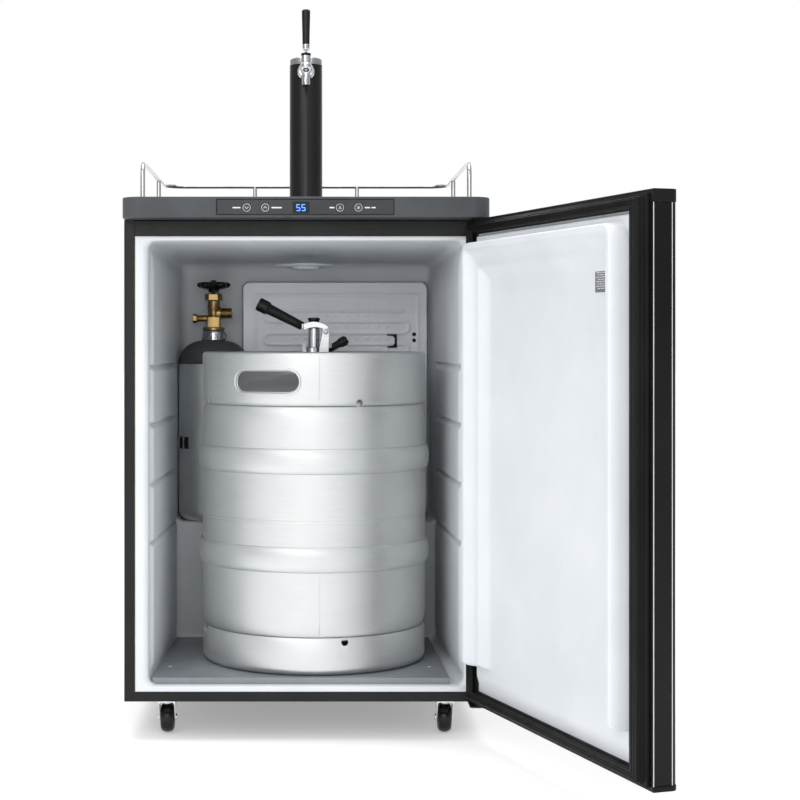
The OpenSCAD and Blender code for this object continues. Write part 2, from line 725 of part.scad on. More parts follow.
module keg_bottom_chime() {
  color("silver") at_keg() difference() {
    rotate_extrude($fn = 96) polygon(concat(
      [[192.5, weld_lo], [190.3, 165.5], [keg_r - 3.6, 157]],
      arc([keg_r - 13, keg_z0 + 12], 9.4, 9.6, 0, -90, 6), [[176, keg_z0 + 2.4], [176, keg_z0]],
      arc([keg_r - 13, keg_z0 + 12], 11.8, 12, -90, 0, 6), [[keg_r - 1.2, 159]]));
    drain_notches(15, 160);
  }
}

module keg_spear() {
  color("gainsboro") at_keg() difference() {
    union() {
      rod_z(25.9, 594, 609, 0, 0);
      rod_z(19, 585, 594, 0, 0);
      rod_z(9, 128, 585, 0, 0);
    }
    rod_z(12.5, 588, 612, 0, 0);
    rod_z(7.5, 120, 590, 0, 0);
  }
}

module coupler_body() {
  color("silver") at_keg() difference() {
    union() {
      rod_z(30, 610.2, 624, 0, 0);
      rod_z(23, 624, 634, 0, 0);
      rod_z(14.5, 634, 651, 0, 0);
      for (s = [-1, 1]) {
        block([8, s * 18 - 2, 630], [27, s * 18 + 2, 684]);
        block([0, min(s * 10, s * 20), 624], [27, max(s * 10, s * 20), 640]);
      }
      block([-20, -4, 632], [-13, 4, 656]);
      // gas inlet, rising to the right
      rod_z(8, 634, 661, 24, 0);
      translate([24, 0, 646]) rotate([0, 62, 0]) cylinder(r = 6.5, h = 40);
      translate([24, 0, 646]) rotate([0, 62, 0]) translate([0, 0, 26]) cylinder(r = 8.6, h = 12, $fn = 6);
    }
    rod_z(10.8, 600, 652, 0, 0);
    rod_y(2.6, -30, 30, coupler_pivot[0], coupler_pivot[1]);
  }
}

module coupler_probe() {
  color("#1a1a1c") at_keg() difference() {
    union() {
      rod_z(9.9, 626, 697, 0, 0);
      rod_z(10.6, 697, 703, 0, 0);
    }
    rod_z(4.8, 620, 704, 0, 0);
  }
}

module coupler_lever() {
  arm = concat(arc([0, 650], 42, 46, 52, 118, 8), arc([2, 652], 36, 34, 124, 58, 8));
  color("gainsboro") at_keg() {
    for (s = [-1, 1]) {
      along_y(min(s * 11.5, s * 15), max(s * 11.5, s * 15)) difference() {
        union() {
          polygon(arm);
          translate(coupler_pivot) circle(6);
        }
        translate(coupler_pivot) circle(2.6);
      }
      rod_y(2.5, min(s * 11.5, s * 20.5), max(s * 11.5, s * 20.5), coupler_pivot[0], coupler_pivot[1]);
    }
    block([-22, -15, 684], [-17.5, 15, 692.5]);
  }
  // grip, pointing up to the left
  color("#151517") at_keg() translate([-20, 0, 688]) rotate([0, -63, 0]) rotate_extrude()
    polygon([[0, 0], [7.5, 0], [9.8, 68], [12, 70], [12, 86], [10, 89], [0, 89]]);
}

// ---- gas cylinder --------------------------------------------------------------

module co2_cylinder() {
  color("#8f9498") translate([gas_x, gas_y, 0]) difference() {
    rotate_extrude($fn = 72) polygon(concat([[0, step_z + 0.2]],
      arc([gas_r - 20, step_z + 20.2], 20, 20, -90, 0), arc([21.6, 621], gas_r - 21.6, 43, 0, 90, 8),
      [[21.6, 683], [0, 683]]));
    rotate_extrude($fn = 72) polygon(concat([[0, step_z + 9]],
      arc([gas_r - 24, step_z + 25], 18, 16, -90, 0), arc([14, 621], gas_r - 20, 36, 0, 90, 8),
      [[0, 657]]));
  }
  // steel band that holds the cylinder to the back wall
  color("#2a2b2e") translate([gas_x, gas_y, 0]) {
    difference() {
      rod_z(gas_r + 1.3, 460, 480, 0, 0);
      rod_z(gas_r + 0.05, 459, 481, 0, 0);
    }
    block([-14, gas_r + 0.6, 462], [14, at(cavity_d - 0.2) - gas_y, 478]);
  }
}

module co2_valve() {
  color("goldenrod") translate([gas_x, gas_y, 0]) difference() {
    union() {
      rod_z(21, 683.1, 689, 0, 0);
      block([-13, -13, 689], [13, 13, 708]);
      rod_z(12, 708, 742, 0, 0);
      rod_x(12.5, 6, 14, 0, 716);
      rod_x(10.5, 14, 35, 0, 716);
      rod_x(6, -34, -10, 0, 706);
      translate([-40, 0, 706]) rotate([0, 90, 0]) cylinder(r = 9, h = 8, $fn = 6);
      translate([0, 0, 740]) cylinder(r = 17, h = 13, $fn = 6);
    }
    rod_z(4.3, 735, 760, 0, 0);
    rod_x(3.5, 20, 36, 0, 716);
  }
}

module co2_handwheel() {
  color("#151517") translate([gas_x, gas_y, 0]) difference() {
    union() {
      rod_z(4, 737, 762, 0, 0);
      rod_z(10, 756, 762, 0, 0);
      rod_z(32, 761, 775, 0, 0);
      rod_z(12, 775, 779, 0, 0);
    }
    for (i = [0:7]) rotate([0, 0, 45 * i + 22.5]) rod_z(9, 755, 780, 37, 0);
  }
}

// ---- nodes ----------------------------------------------------------------------

side_panel(-1);  // left_side_panel
side_panel(1);  // right_side_panel
back_panel();
base_pan();
top_rail();
side_insulation();
rear_insulation();
top_insulation();
floor_insulation();
inner_liner();
port_caps();
evaporator_plate();
floor_plate();
compressor();
condenser_coil();
power_inlet();
hinge_brackets();
caster_plates();
worktop();
control_fascia();
display_module();
key(0);  // key_down
key(1);  // key_up
key(2);  // key_unit
key(3);  // key_chill
guard_rail();
drip_tray();
drip_grille();
tower_base();
tower_column();
tower_cap();
tap_shank();
faucet_body();
faucet_bonnet();
faucet_plunger();
tap_lever();
tap_handle();
caster_fork(-1, -1);  // caster_fork_fl
caster_fork(1, -1);  // caster_fork_fr
caster_fork(-1, 1);  // caster_fork_rl
caster_fork(1, 1);  // caster_fork_rr
caster_wheel(-1, -1);  // caster_wheel_fl
caster_wheel(1, -1);  // caster_wheel_fr
caster_wheel(-1, 1);  // caster_wheel_rl
caster_wheel(1, 1);  // caster_wheel_rr
door_skin();
door_end_caps();
door_insulation();
door_liner();
door_gasket();
keg_shell();
keg_top_chime();
keg_bottom_chime();
keg_spear();
coupler_body();
coupler_probe();
coupler_lever();
co2_cylinder();
co2_valve();
co2_handwheel();
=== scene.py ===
"""Kegerator: black cabinet on casters with an open door, a keg, a gas cylinder and a draft tower.

Lengths in this script are in millimetres, in the part's own frame; build() turns them into metres.
"""
import json
from math import cos, hypot, pi, radians, sin, sqrt, tan

import bmesh
import bpy
from mathutils import Matrix, Vector


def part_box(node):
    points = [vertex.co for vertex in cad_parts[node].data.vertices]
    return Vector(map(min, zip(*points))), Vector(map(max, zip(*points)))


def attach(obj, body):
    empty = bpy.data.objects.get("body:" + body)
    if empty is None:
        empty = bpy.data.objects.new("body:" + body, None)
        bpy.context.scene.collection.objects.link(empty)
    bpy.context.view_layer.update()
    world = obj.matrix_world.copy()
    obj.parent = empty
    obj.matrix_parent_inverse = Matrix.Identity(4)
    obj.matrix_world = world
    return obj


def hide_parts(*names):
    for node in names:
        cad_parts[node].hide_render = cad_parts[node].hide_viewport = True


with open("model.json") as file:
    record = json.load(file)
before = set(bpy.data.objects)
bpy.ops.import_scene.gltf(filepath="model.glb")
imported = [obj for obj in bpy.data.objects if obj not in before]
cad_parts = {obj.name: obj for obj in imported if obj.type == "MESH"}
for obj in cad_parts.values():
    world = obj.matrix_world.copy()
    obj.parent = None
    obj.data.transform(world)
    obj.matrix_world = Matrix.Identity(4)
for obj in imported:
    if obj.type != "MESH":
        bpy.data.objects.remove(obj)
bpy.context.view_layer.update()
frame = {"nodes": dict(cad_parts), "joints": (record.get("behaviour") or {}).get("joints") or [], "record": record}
scene = bpy.context.scene
MM = 0.001


def box_mm(node):
    lo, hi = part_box(node)
    return lo / MM, hi / MM


def middle(node):
    lo, hi = box_mm(node)
    return (lo + hi) / 2


def pivot_of(joint):
    return Vector(JOINTS[joint]["pos_m"]) / MM


# ---- places read from the frame ------------------------------------------------------------

LINER_LO, LINER_HI = box_mm("inner_liner")
FRONT = LINER_LO.y
TOP_LO, TOP_HI = box_mm("worktop")
KEG_AT, KEG_TOP = middle("keg_top_chime"), box_mm("keg_top_chime")[1].z
KEG_FOOT = box_mm("keg_bottom_chime")[0].z
GAS_AT = middle("co2_handwheel")
COLUMN_LO, COLUMN_HI = box_mm("tower_column")
COLUMN_R = (COLUMN_HI.x - COLUMN_LO.x) / 2
TOWER = middle("tower_column")
HANDLE_LO, HANDLE_HI = box_mm("tap_handle")
JOINTS = {joint["name"]: joint for joint in frame["joints"]}
HINGE = pivot_of("door_hinge")
DOOR_OPEN = -JOINTS["door_hinge"]["range_deg"][0]  # from shut to where it stands at rest
LEVER = pivot_of("tap_lever_pull")
COUPLER = pivot_of("coupler_lever_press")
SHANK_Z = LEVER.z - 20  # the faucet's barrel lies this far below the lever's ball
CORNERS = [(-1, -1), (-1, 1), (1, -1), (1, 1)]


def at(depth):
    """The y of a depth behind the cabinet's front plane."""
    return FRONT + depth


# ---- outlines and shapes: each shape is a pair (points, faces) -----------------------------

def cosd(degrees):
    return cos(radians(degrees))


def sind(degrees):
    return sin(radians(degrees))


def arc(cx, cy, r, a0, a1, n=8):
    """Points from angle a0 to a1, in n equal steps."""
    turns = [a0 + (a1 - a0) * i / n for i in range(n + 1)]
    return [(cx + r * cosd(a), cy + r * sind(a)) for a in turns]


def oval(cx, cy, rx, ry, turns):
    """Points of an ellipse at the given angles."""
    return [(cx + rx * cosd(a), cy + ry * sind(a)) for a in turns]


def rounded(points, radius, steps=6, closed=False):
    """The points with each corner turned into an arc; radius is one number or one for each point."""
    pts = [Vector(p) for p in points]
    n = len(pts)
    radii = radius if isinstance(radius, (list, tuple)) else [radius] * n
    out = []
    for i, p in enumerate(pts):
        if radii[i] <= 0 or (not closed and i in (0, n - 1)):
            out.append(p)
            continue
        u, v = (pts[i - 1] - p), (pts[(i + 1) % n] - p)
        reach = min(u.length, v.length) * 0.499
        u.normalize(), v.normalize()
        half = u.angle(v) / 2
        if half > radians(89.5):
            out.append(p)
            continue
        cut = min(radii[i] / tan(half), reach)
        r = cut * tan(half)
        centre = p + (u + v).normalized() * (r / sin(half))
        a, b = p + u * cut - centre, p + v * cut - centre
        for k in range(steps + 1):
            t = k / steps
            angle = a.angle(b)
            s = sin(angle)
            w = (a * sin((1 - t) * angle) + b * sin(t * angle)) / s if s > 1e-6 else a.lerp(b, t)
            out.append(centre + w)
    return out


def rect(x0, y0, x1, y1):
    return [(x0, y0), (x1, y0), (x1, y1), (x0, y1)]


def lathe(profile, n=64, closed=False):
    """Turns a list of (r, z) about Z. A closed profile is a ring of material that leaves the axis free."""
    points, faces, rings = [], [], []
    for r, z in profile:
        if r < 1e-6:
            rings.append([len(points)])
            points.append(Vector((0, 0, z)))
        else:
            rings.append(list(range(len(points), len(points) + n)))
            turns = [2 * pi * i / n for i in range(n)]
            points += [Vector((r * cos(a), r * sin(a), z)) for a in turns]
    pairs = list(zip(rings, rings[1:])) + ([(rings[-1], rings[0])] if closed else [])
    for a, b in pairs:
        for i in range(n):
            j = (i + 1) % n
            face = list(dict.fromkeys((a[i % len(a)], a[j % len(a)], b[j % len(b)], b[i % len(b)])))
            if len(face) > 2:
                faces.append(face)
    return points, faces


def prism(outline, lo, hi):
    """A closed outline (x, y) between two heights."""
    n = len(outline)
    points = [Vector((p[0], p[1], z)) for z in (lo, hi) for p in outline]
    faces = [list(range(n))[::-1], list(range(n, 2 * n))]
    faces += [[i, (i + 1) % n, n + (i + 1) % n, n + i] for i in range(n)]
    return points, faces


def loft(rings, caps=True, around=True):
    """Joins rings of equal length, each a list of points."""
    n = len(rings[0])
    points = [Vector(p) for ring in rings for p in ring]
    faces = []
    for k in range(len(rings) - 1):
        for i in range(n if around else n - 1):
            j = (i + 1) % n
            faces.append([k * n + i, k * n + j, (k + 1) * n + j, (k + 1) * n + i])
    if caps:
        faces.append(list(range(n))[::-1])
        faces.append(list(range((len(rings) - 1) * n, len(rings) * n)))
    return points, faces


def tube(path, radius, n=16, closed=False):
    """A round bar along a path; radius is one number or one for each point."""
    pts = [Vector(p) for p in path]
    count = len(pts)
    radii = radius if isinstance(radius, (list, tuple)) else [radius] * count
    normal, rings = None, []
    for i, p in enumerate(pts):
        before = pts[i - 1] if i or closed else p
        after = pts[(i + 1) % count] if i < count - 1 or closed else p
        along = (after - before).normalized()
        if normal is None:
            normal = along.orthogonal().normalized()
        normal = (normal - along * normal.dot(along)).normalized()
        side = along.cross(normal)
        turns = [2 * pi * k / n for k in range(n)]
        rings.append([p + (normal * cos(a) + side * sin(a)) * radii[i] for a in turns])
    if closed:
        rings.append(rings[0])
    return loft(rings, caps=not closed)


def moved(shape, x=0.0, y=0.0, z=0.0):
    return [p + Vector((x, y, z)) for p in shape[0]], shape[1]


def turned(shape, degrees, axis="Z"):
    turn = Matrix.Rotation(radians(degrees), 3, axis)
    return [turn @ p for p in shape[0]], shape[1]


def mirrored(shape, x=1, y=1):
    return [Vector((p.x * x, p.y * y, p.z)) for p in shape[0]], shape[1]


def along_y(shape):
    """What was built upwards now points to -Y, with its own Y turned to +Z."""
    return turned(shape, 90, "X")


def along_x(shape):
    """What was built upwards now points to +X."""
    return turned(shape, 90, "Y")


def facing(outline, lo, hi, x=0.0, y=0.0, z=0.0):
    """A plate that faces the front: an (x, z) outline between two distances in front of y."""
    return moved(along_y(prism(outline, lo, hi)), x, y, z)


def joined(*shapes):
    points, faces = [], []
    for pts, fcs in shapes:
        faces += [[i + len(points) for i in f] for f in fcs]
        points += pts
    return points, faces


def hexagon(across_flats):
    return arc(0, 0, across_flats / sqrt(3), 0, 300, 5)


def hex_nut(across_flats, slices):
    """A nut from slices (scale, z), so that its ends can be chamfered."""
    return loft([[(a * k, b * k, z) for a, b in hexagon(across_flats)] for k, z in slices])


def smooth(t):
    """Rises from 0 at t = 0 to 1 at t = 1, level at both ends."""
    t = min(max(t, 0.0), 1.0)
    return t * t * (3 - 2 * t)


def levels(lo, hi, step, *dense):
    """Places from lo to hi, step apart, with a finer step inside each dense (from, to, step)."""
    found = {lo, hi}
    k = lo
    while k < hi:
        if not any(a < k < b for a, b, _ in dense):
            found.add(k)
        k += step
    for a, b, fine in dense:
        count = round((b - a) / fine)
        found |= {a + (b - a) * i / count for i in range(count + 1)}
    return sorted(v for v in found if lo <= v <= hi)


# ---- objects ---------------------------------------------------------------------------------

def mesh_of(name, shape, clean=True, place=None):
    points, faces = shape
    mesh = bpy.data.meshes.new(name)
    bm = bmesh.new()
    made = [bm.verts.new(p * MM) for p in points]
    for face in faces:
        try:
            bm.faces.new([made[i] for i in face])
        except ValueError:  # the face is there already
            pass
    if clean:
        bmesh.ops.remove_doubles(bm, verts=bm.verts, dist=1e-6)
        bmesh.ops.dissolve_degenerate(bm, edges=bm.edges, dist=1e-6)
    bmesh.ops.recalc_face_normals(bm, faces=bm.faces)
    if place:
        bm.transform(place)
    bm.to_mesh(mesh)
    bm.free()
    return mesh


def bevelled(obj, width, segments):
    mod = obj.modifiers.new("edges", "BEVEL")
    mod.width, mod.segments = width, segments
    mod.limit_method, mod.angle_limit = "ANGLE", radians(40)
    mod.harden_normals = True


def build(name, shape, look, body, nodes=(), bevel=0.0, angle=32, segments=3, door=False):
    """One finished piece; a door piece is given as if the door were shut."""
    mesh = mesh_of(name, shape, place=door_place() if door else None)
    obj = bpy.data.objects.new(name, mesh)
    scene.collection.objects.link(obj)
    mesh.materials.append(LOOKS[look])
    mesh.shade_smooth()
    mesh.set_sharp_from_angle(angle=radians(angle))
    if bevel:
        bevelled(obj, bevel * MM, segments)
    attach(obj, body)
    if nodes:
        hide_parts(*([nodes] if isinstance(nodes, str) else nodes))
    return obj


def cut(obj, *shapes):
    """Cuts closed shapes out of an object's mesh, and bevels the result as it was bevelled before."""
    bevels = [(mod.width, mod.segments) for mod in obj.modifiers]
    obj.modifiers.clear()
    for shape in shapes:
        cutter = bpy.data.objects.new("cutter", mesh_of("cutter", shape, clean=False))
        scene.collection.objects.link(cutter)
        mod = obj.modifiers.new("cut", "BOOLEAN")
        mod.object, mod.operation, mod.solver = cutter, "DIFFERENCE", "EXACT"
        graph = bpy.context.evaluated_depsgraph_get()
        result = bpy.data.meshes.new_from_object(obj.evaluated_get(graph))
        obj.modifiers.clear()
        obj.data = result
        bpy.data.objects.remove(cutter)
    obj.data.shade_smooth()
    obj.data.set_sharp_from_angle(angle=radians(32))
    for width, segments in bevels:
        bevelled(obj, width, segments)


def door_place():
    """From the closed door's place to where it stands open at rest."""
    hinge = Vector((HINGE.x, HINGE.y, 0)) * MM
    swing = Matrix.Rotation(radians(DOOR_OPEN), 4, "Z")
    return Matrix.Translation(hinge) @ swing @ Matrix.Translation(-hinge)


# ---- materials -------------------------------------------------------------------------------

class Look:
    """A node material being put together."""

    def __init__(self, name, **sockets):
        self.material = bpy.data.materials.new(name)
        self.material.use_nodes = True
        self.tree = self.material.node_tree
        self.shader = self.tree.nodes["Principled BSDF"]
        self.place = self.node("ShaderNodeTexCoord").outputs["Object"]
        self.normal = None
        for key, value in sockets.items():
            self.shader.inputs[key.replace("_", " ")].default_value = value
        LOOKS[name] = self.material

    def node(self, kind, links=(), **settings):
        made = self.tree.nodes.new(kind)
        for key, value in settings.items():
            setattr(made, key, value)
        for key, value in dict(links).items():
            if isinstance(value, bpy.types.NodeSocket):
                self.tree.links.new(value, made.inputs[key])
            else:
                made.inputs[key].default_value = value
        return made

    def noise(self, scale, detail=3.0, roughness=0.55, vector=None):
        links = {"Vector": vector or self.place, "Scale": scale, "Detail": detail, "Roughness": roughness}
        return self.node("ShaderNodeTexNoise", links).outputs["Fac"]

    def stretched(self, scale):
        return self.node("ShaderNodeMapping", {"Vector": self.place, "Scale": scale}).outputs[0]

    def around(self, centre, turns, rise):
        """Coordinates that run around an upright axis and up it, for turned and brushed surfaces."""
        back = (-centre.x * MM, -centre.y * MM, 0)
        shifted = self.node("ShaderNodeMapping", {"Vector": self.place, "Location": back}).outputs[0]
        parts = self.node("ShaderNodeSeparateXYZ", {0: shifted}).outputs
        angle = self.math("ARCTAN2", parts[1], parts[0])
        squares = [self.math("MULTIPLY", part, part) for part in parts[:2]]
        reach = self.math("SQRT", self.math("ADD", *squares))
        scaled = [self.math("MULTIPLY", a, b) for a, b in ((angle, turns), (reach, rise),
            (parts[2], rise))]
        return self.node("ShaderNodeCombineXYZ", dict(enumerate(scaled))).outputs[0]

    def math(self, operation, a, b=0.0):
        return self.node("ShaderNodeMath", {0: a, 1: b}, operation=operation).outputs[0]

    def span(self, value, lo, hi, to_lo, to_hi):
        ends = {"From Min": lo, "From Max": hi, "To Min": to_lo, "To Max": to_hi}
        return self.node("ShaderNodeMapRange", {"Value": value, **ends}).outputs[0]

    def color(self, value, dark, light, lo=0.3, hi=0.7):
        ramp = self.node("ShaderNodeValToRGB", {"Fac": value})
        for stop, place, tone in zip(ramp.color_ramp.elements, (lo, hi), (dark, light)):
            stop.position, stop.color = place, (*tone, 1)
        self.tree.links.new(ramp.outputs["Color"], self.shader.inputs["Base Color"])

    def rough(self, value, lo, hi):
        self.tree.links.new(self.span(value, 0.3, 0.7, lo, hi), self.shader.inputs["Roughness"])

    def bump(self, value, strength, distance):
        links = {"Height": value, "Strength": strength, "Distance": distance}
        if self.normal:
            links["Normal"] = self.normal
        self.normal = self.node("ShaderNodeBump", links).outputs["Normal"]
        self.tree.links.new(self.normal, self.shader.inputs["Normal"])


LOOKS = {}


def grey(v, blue=0.0):
    return v, v * (1 + blue / 2), v * (1 + blue)


def enamel(name, dark, light, rough, grain=900, bump=0.15, specular=0.4):
    """Paint or moulded plastic: faint patches, a fine grain and an uneven gloss."""
    look = Look(name, Specular_IOR_Level=specular)
    look.color(look.noise(9, 5), dark, light)
    look.rough(look.noise(22, 6, 0.65), *rough)
    look.bump(look.noise(grain, 2), bump, 0.0002)
    look.bump(look.noise(14, 2), 0.05, 0.002)


def metal(name, dark, light, rough, vector=None, scale=1.0, bump=0.05, anisotropic=0.0):
    """Bright metal with brush marks along the stretched coordinates, and faint hand marks."""
    look = Look(name, Metallic=1.0, Anisotropic=anisotropic)
    lines = look.noise(scale, 5, 0.7, vector(look) if vector else None)
    marks = look.noise(13, 5, 0.6)
    mix = look.math("ADD", look.math("MULTIPLY", lines, 0.6), look.math("MULTIPLY", marks, 0.4))
    look.color(mix, dark, light, 0.35, 0.65)
    look.rough(mix, *rough)
    look.bump(lines, bump, 0.0002)


enamel("black_steel", grey(0.009), grey(0.014, 0.1), (0.34, 0.46), grain=1400, specular=0.20)
enamel("door_black", grey(0.003), grey(0.006, 0.05), (0.14, 0.24), grain=700, bump=0.06, specular=0.16)
enamel("black_plastic", grey(0.005), grey(0.009, 0.05), (0.30, 0.45), grain=1600, specular=0.12)
enamel("coupler_black", grey(0.006), grey(0.010), (0.24, 0.36), grain=1600, specular=0.25)
enamel("worktop_plastic", grey(0.050, 0.22), grey(0.072, 0.22), (0.42, 0.55), grain=2000, bump=0.3,
    specular=0.25)
enamel("fascia_plastic", grey(0.028, 0.18), grey(0.038, 0.18), (0.30, 0.42), grain=2200, bump=0.12,
    specular=0.25)
enamel("display_glass", grey(0.008, 0.4), grey(0.012, 0.5), (0.12, 0.2), grain=400, bump=0.02,
    specular=0.12)
enamel("white_liner", (0.66, 0.69, 0.72), (0.72, 0.745, 0.775), (0.28, 0.42), grain=320, bump=0.04,
    specular=0.35)
enamel("label_grey", (0.14, 0.15, 0.17), (0.19, 0.20, 0.22), (0.40, 0.55), grain=900)
enamel("print_white", grey(0.62), grey(0.75), (0.45, 0.60), grain=900)
enamel("foam", (0.62, 0.54, 0.33), (0.74, 0.66, 0.43), (0.75, 0.95), grain=420, bump=0.8, specular=0.2)
enamel("grey_steel", (0.20, 0.215, 0.235), (0.26, 0.275, 0.295), (0.30, 0.45), grain=1200, bump=0.12)
enamel("compressor_black", grey(0.012), grey(0.025), (0.22, 0.40), grain=700, bump=0.15)
enamel("tower_black", grey(0.006), grey(0.010, 0.1), (0.20, 0.30), grain=1000, bump=0.05, specular=0.28)
enamel("gasket_rubber", grey(0.004), grey(0.008, 0.05), (0.40, 0.55), grain=1300, bump=0.25,
    specular=0.12)
enamel("caster_tyre", grey(0.005), grey(0.009), (0.18, 0.32), grain=1100, bump=0.2, specular=0.3)
metal("evaporator_aluminium", (0.62, 0.64, 0.67), (0.72, 0.74, 0.77), (0.48, 0.60),
    lambda k: k.stretched((4, 4, 260)), bump=0.04)
metal("zinc_steel", (0.50, 0.51, 0.52), (0.66, 0.67, 0.66), (0.30, 0.45), scale=60, bump=0.1)
metal("chrome", (0.42, 0.435, 0.45), (0.62, 0.64, 0.66), (0.05, 0.12), scale=40, bump=0.01)
metal("cast_metal", (0.30, 0.31, 0.32), (0.52, 0.53, 0.54), (0.14, 0.30), scale=70, bump=0.06)
enamel("shoulder_grey", grey(0.055, 0.05), grey(0.11, 0.05), (0.50, 0.70), grain=650, bump=0.5,
    specular=0.3)
metal("caster_chrome", (0.74, 0.75, 0.76), (0.86, 0.87, 0.88), (0.08, 0.20), scale=50, bump=0.02)
metal("stainless", (0.58, 0.59, 0.60), (0.70, 0.71, 0.71), (0.24, 0.36),
    lambda k: k.stretched((30, 900, 900)), bump=0.06)
metal("keg_steel", (0.62, 0.635, 0.635), (0.70, 0.715, 0.715), (0.42, 0.54),
    lambda k: k.around(KEG_AT, 2.5, 700), bump=0.10, anisotropic=0.35)
metal("cylinder_aluminium", (0.74, 0.76, 0.77), (0.84, 0.86, 0.87), (0.44, 0.56),
    lambda k: k.around(GAS_AT, 3.0, 1100), bump=0.10)
metal("brass", (0.27, 0.175, 0.06), (0.46, 0.32, 0.13), (0.22, 0.40), scale=90, bump=0.12)
glow = Look("digit_blue", Roughness=0.4, Emission_Color=(0.05, 0.22, 1.0, 1), Emission_Strength=3.0)
glow.color(glow.noise(300), (0.02, 0.08, 0.5), (0.04, 0.12, 0.7))

for node_name, cad in frame["nodes"].items():
    wanted = next(p["material_slot"] for p in frame["record"]["subparts"] if p["node"] == node_name)
    cad.data.materials.clear()
    cad.data.materials.append(LOOKS[wanted])


# ---- cabinet ---------------------------------------------------------------------------------

def cabinet_panels():
    """The two side sheets, folded in at the front and mitred at their lower front corner."""
    lo, hi = box_mm("left_side_panel")
    half, flange, sheet = -lo.x, hi.x - lo.x, 1.2
    for side, node in ((-1, "left_side_panel"), (1, "right_side_panel")):
        radii = [3, 1, 0.6, 0.6] if side < 0 else [1, 3, 0.6, 0.6]
        x0, x1 = sorted((side * half, side * (half - flange)))
        plan = rounded(rect(x0, lo.y, x1, hi.y), radii, closed=True)
        body = build(node.replace("_panel", "_sheet"), prism(plan, lo.z, hi.z), "black_steel", "cabinet",
            node, bevel=0.5)
        x0, x1 = sorted((side * (half - flange - 2), side * (half - sheet)))
        mitre = [(side * half, lo.z - 1), (side * half, lo.z),
            (side * (half - flange), lo.z + (flange - 2.5)), (side * (half - flange - 2), lo.z - 1)]
        cut(body, prism(rect(x0, at(sheet), x1, hi.y + 5), lo.z - 5, hi.z + 5),
            facing(mitre, -2, 3, y=FRONT + 1))


def rail_under_top():
    """The face of the cross rail, a little wider than the liner so that no foam shows beside it."""
    bar = rect(LINER_LO.x - 0.8, 834, LINER_HI.x + 0.8, box_mm("top_rail")[1].z)
    build("top_rail_face", facing(bar, -1.2, 0, y=FRONT + 0.02), "black_steel", "cabinet", "top_rail",
        bevel=0.4)


def liner():
    """The moulded liner as rings of points that run from its front flange to the back wall."""
    open_half, lip, back_d = 271.0, 11.0, LINER_HI.y - FRONT - 1.5
    back_half, floor, step_z = 243.0, 93.5, 321.0
    step_d, ceiling_front, ceiling_back = 420.0, 826.0, 815.0
    corner, step_corner = 14, 5
    grooves = (620, 523, 424, 326)  # heights of the shelf grooves
    heights = levels(80, 840, 24, *[(g - 12, g + 12, 1.6) for g in grooves])
    across = [i / 24 for i in range(25)]

    def bulge(z, d, lo, hi):
        """How far the side wall stands in between the grooves, at a height and a depth."""
        deep = 1.0
        for g in grooves:
            above = z - g
            deep *= smooth((above - 0.8) / 2.5) if above > 0 else smooth((-above - 0.8) / 9)
        along = smooth((d - 16) / 22) * (1 - smooth((d - 380) / 45))
        return 5.5 * deep * along * smooth((z - lo) / 16) * smooth((hi - z) / 16)

    def ring(d, w, z0, z1, r, shaped=True):
        """One ring at a depth: half width w, from z0 to z1, with corner radius r."""
        right = [((w - r) * t, z0) for t in across]
        right += arc(w - r, z0 + r, r, -90, 0, 6)[1:]
        lo, hi = z0 + r, z1 - r
        for z in heights:
            z = min(max(z, lo), hi)
            right.append((w - (bulge(z, d, lo, hi) if shaped else 0), z))
        right += arc(w - r, z1 - r, r, 0, 90, 6)[1:]
        right += [((w - r) * (1 - t), z1) for t in across[1:]]
        left = [(-x, z) for x, z in right[::-1]][1:-1]
        return [Vector((x, at(d), z)) for x, z in right + left]

    def width(d):
        return open_half - lip + (back_half - open_half + lip) * (d - lip) / (back_d - lip)

    def ceiling(d):
        return ceiling_front + (ceiling_back - ceiling_front) * d / back_d

    rings = [ring(1.5, LINER_HI.x, LINER_LO.z, LINER_HI.z, 1, False),
        ring(0.4, LINER_HI.x, LINER_LO.z, LINER_HI.z, 1, False),
        ring(0, LINER_HI.x - 0.5, LINER_LO.z + 0.5, LINER_HI.z - 0.5, 1, False)]
    for a in range(0, 91, 10):
        s = sind(a)
        w, d = open_half - lip * s, lip * (1 - cosd(a))
        rings.append(ring(d, w, floor - 2.5 + 2.5 * s, ceiling_front + 2.5 - 2.5 * s - d * 0.02, 13,
            False))
    bend = range(15, 91, 15)
    run = [(d, floor) for d in levels(14, step_d - corner, 22, (14, 44, 3), (376, 400, 6))]
    run += [(step_d - corner + corner * sind(a), floor + corner - corner * cosd(a)) for a in bend]
    run += [(step_d, z) for z in levels(floor + 20, step_z - 6, 30)]
    run += [(step_d + step_corner - step_corner * cosd(a), step_z - step_corner + step_corner * sind(a))
        for a in bend]
    run += [(d, step_z) for d in levels(step_d + 16, back_d - 16, 16)]
    rings += [ring(d, width(d), z, ceiling(d), corner) for d, z in run]
    for a in bend:
        d, c = back_d - corner + corner * sind(a), corner * (1 - cosd(a))
        rings.append(ring(d, width(d) - c, step_z + c * 0.3, ceiling(d) - c, corner - c * 0.2))
    points, faces = loft(rings, caps=False)
    faces.append(list(range(len(points) - len(rings[-1]), len(points))))
    build("liner_moulding", (points, faces), "white_liner", "cabinet", "inner_liner", angle=60)


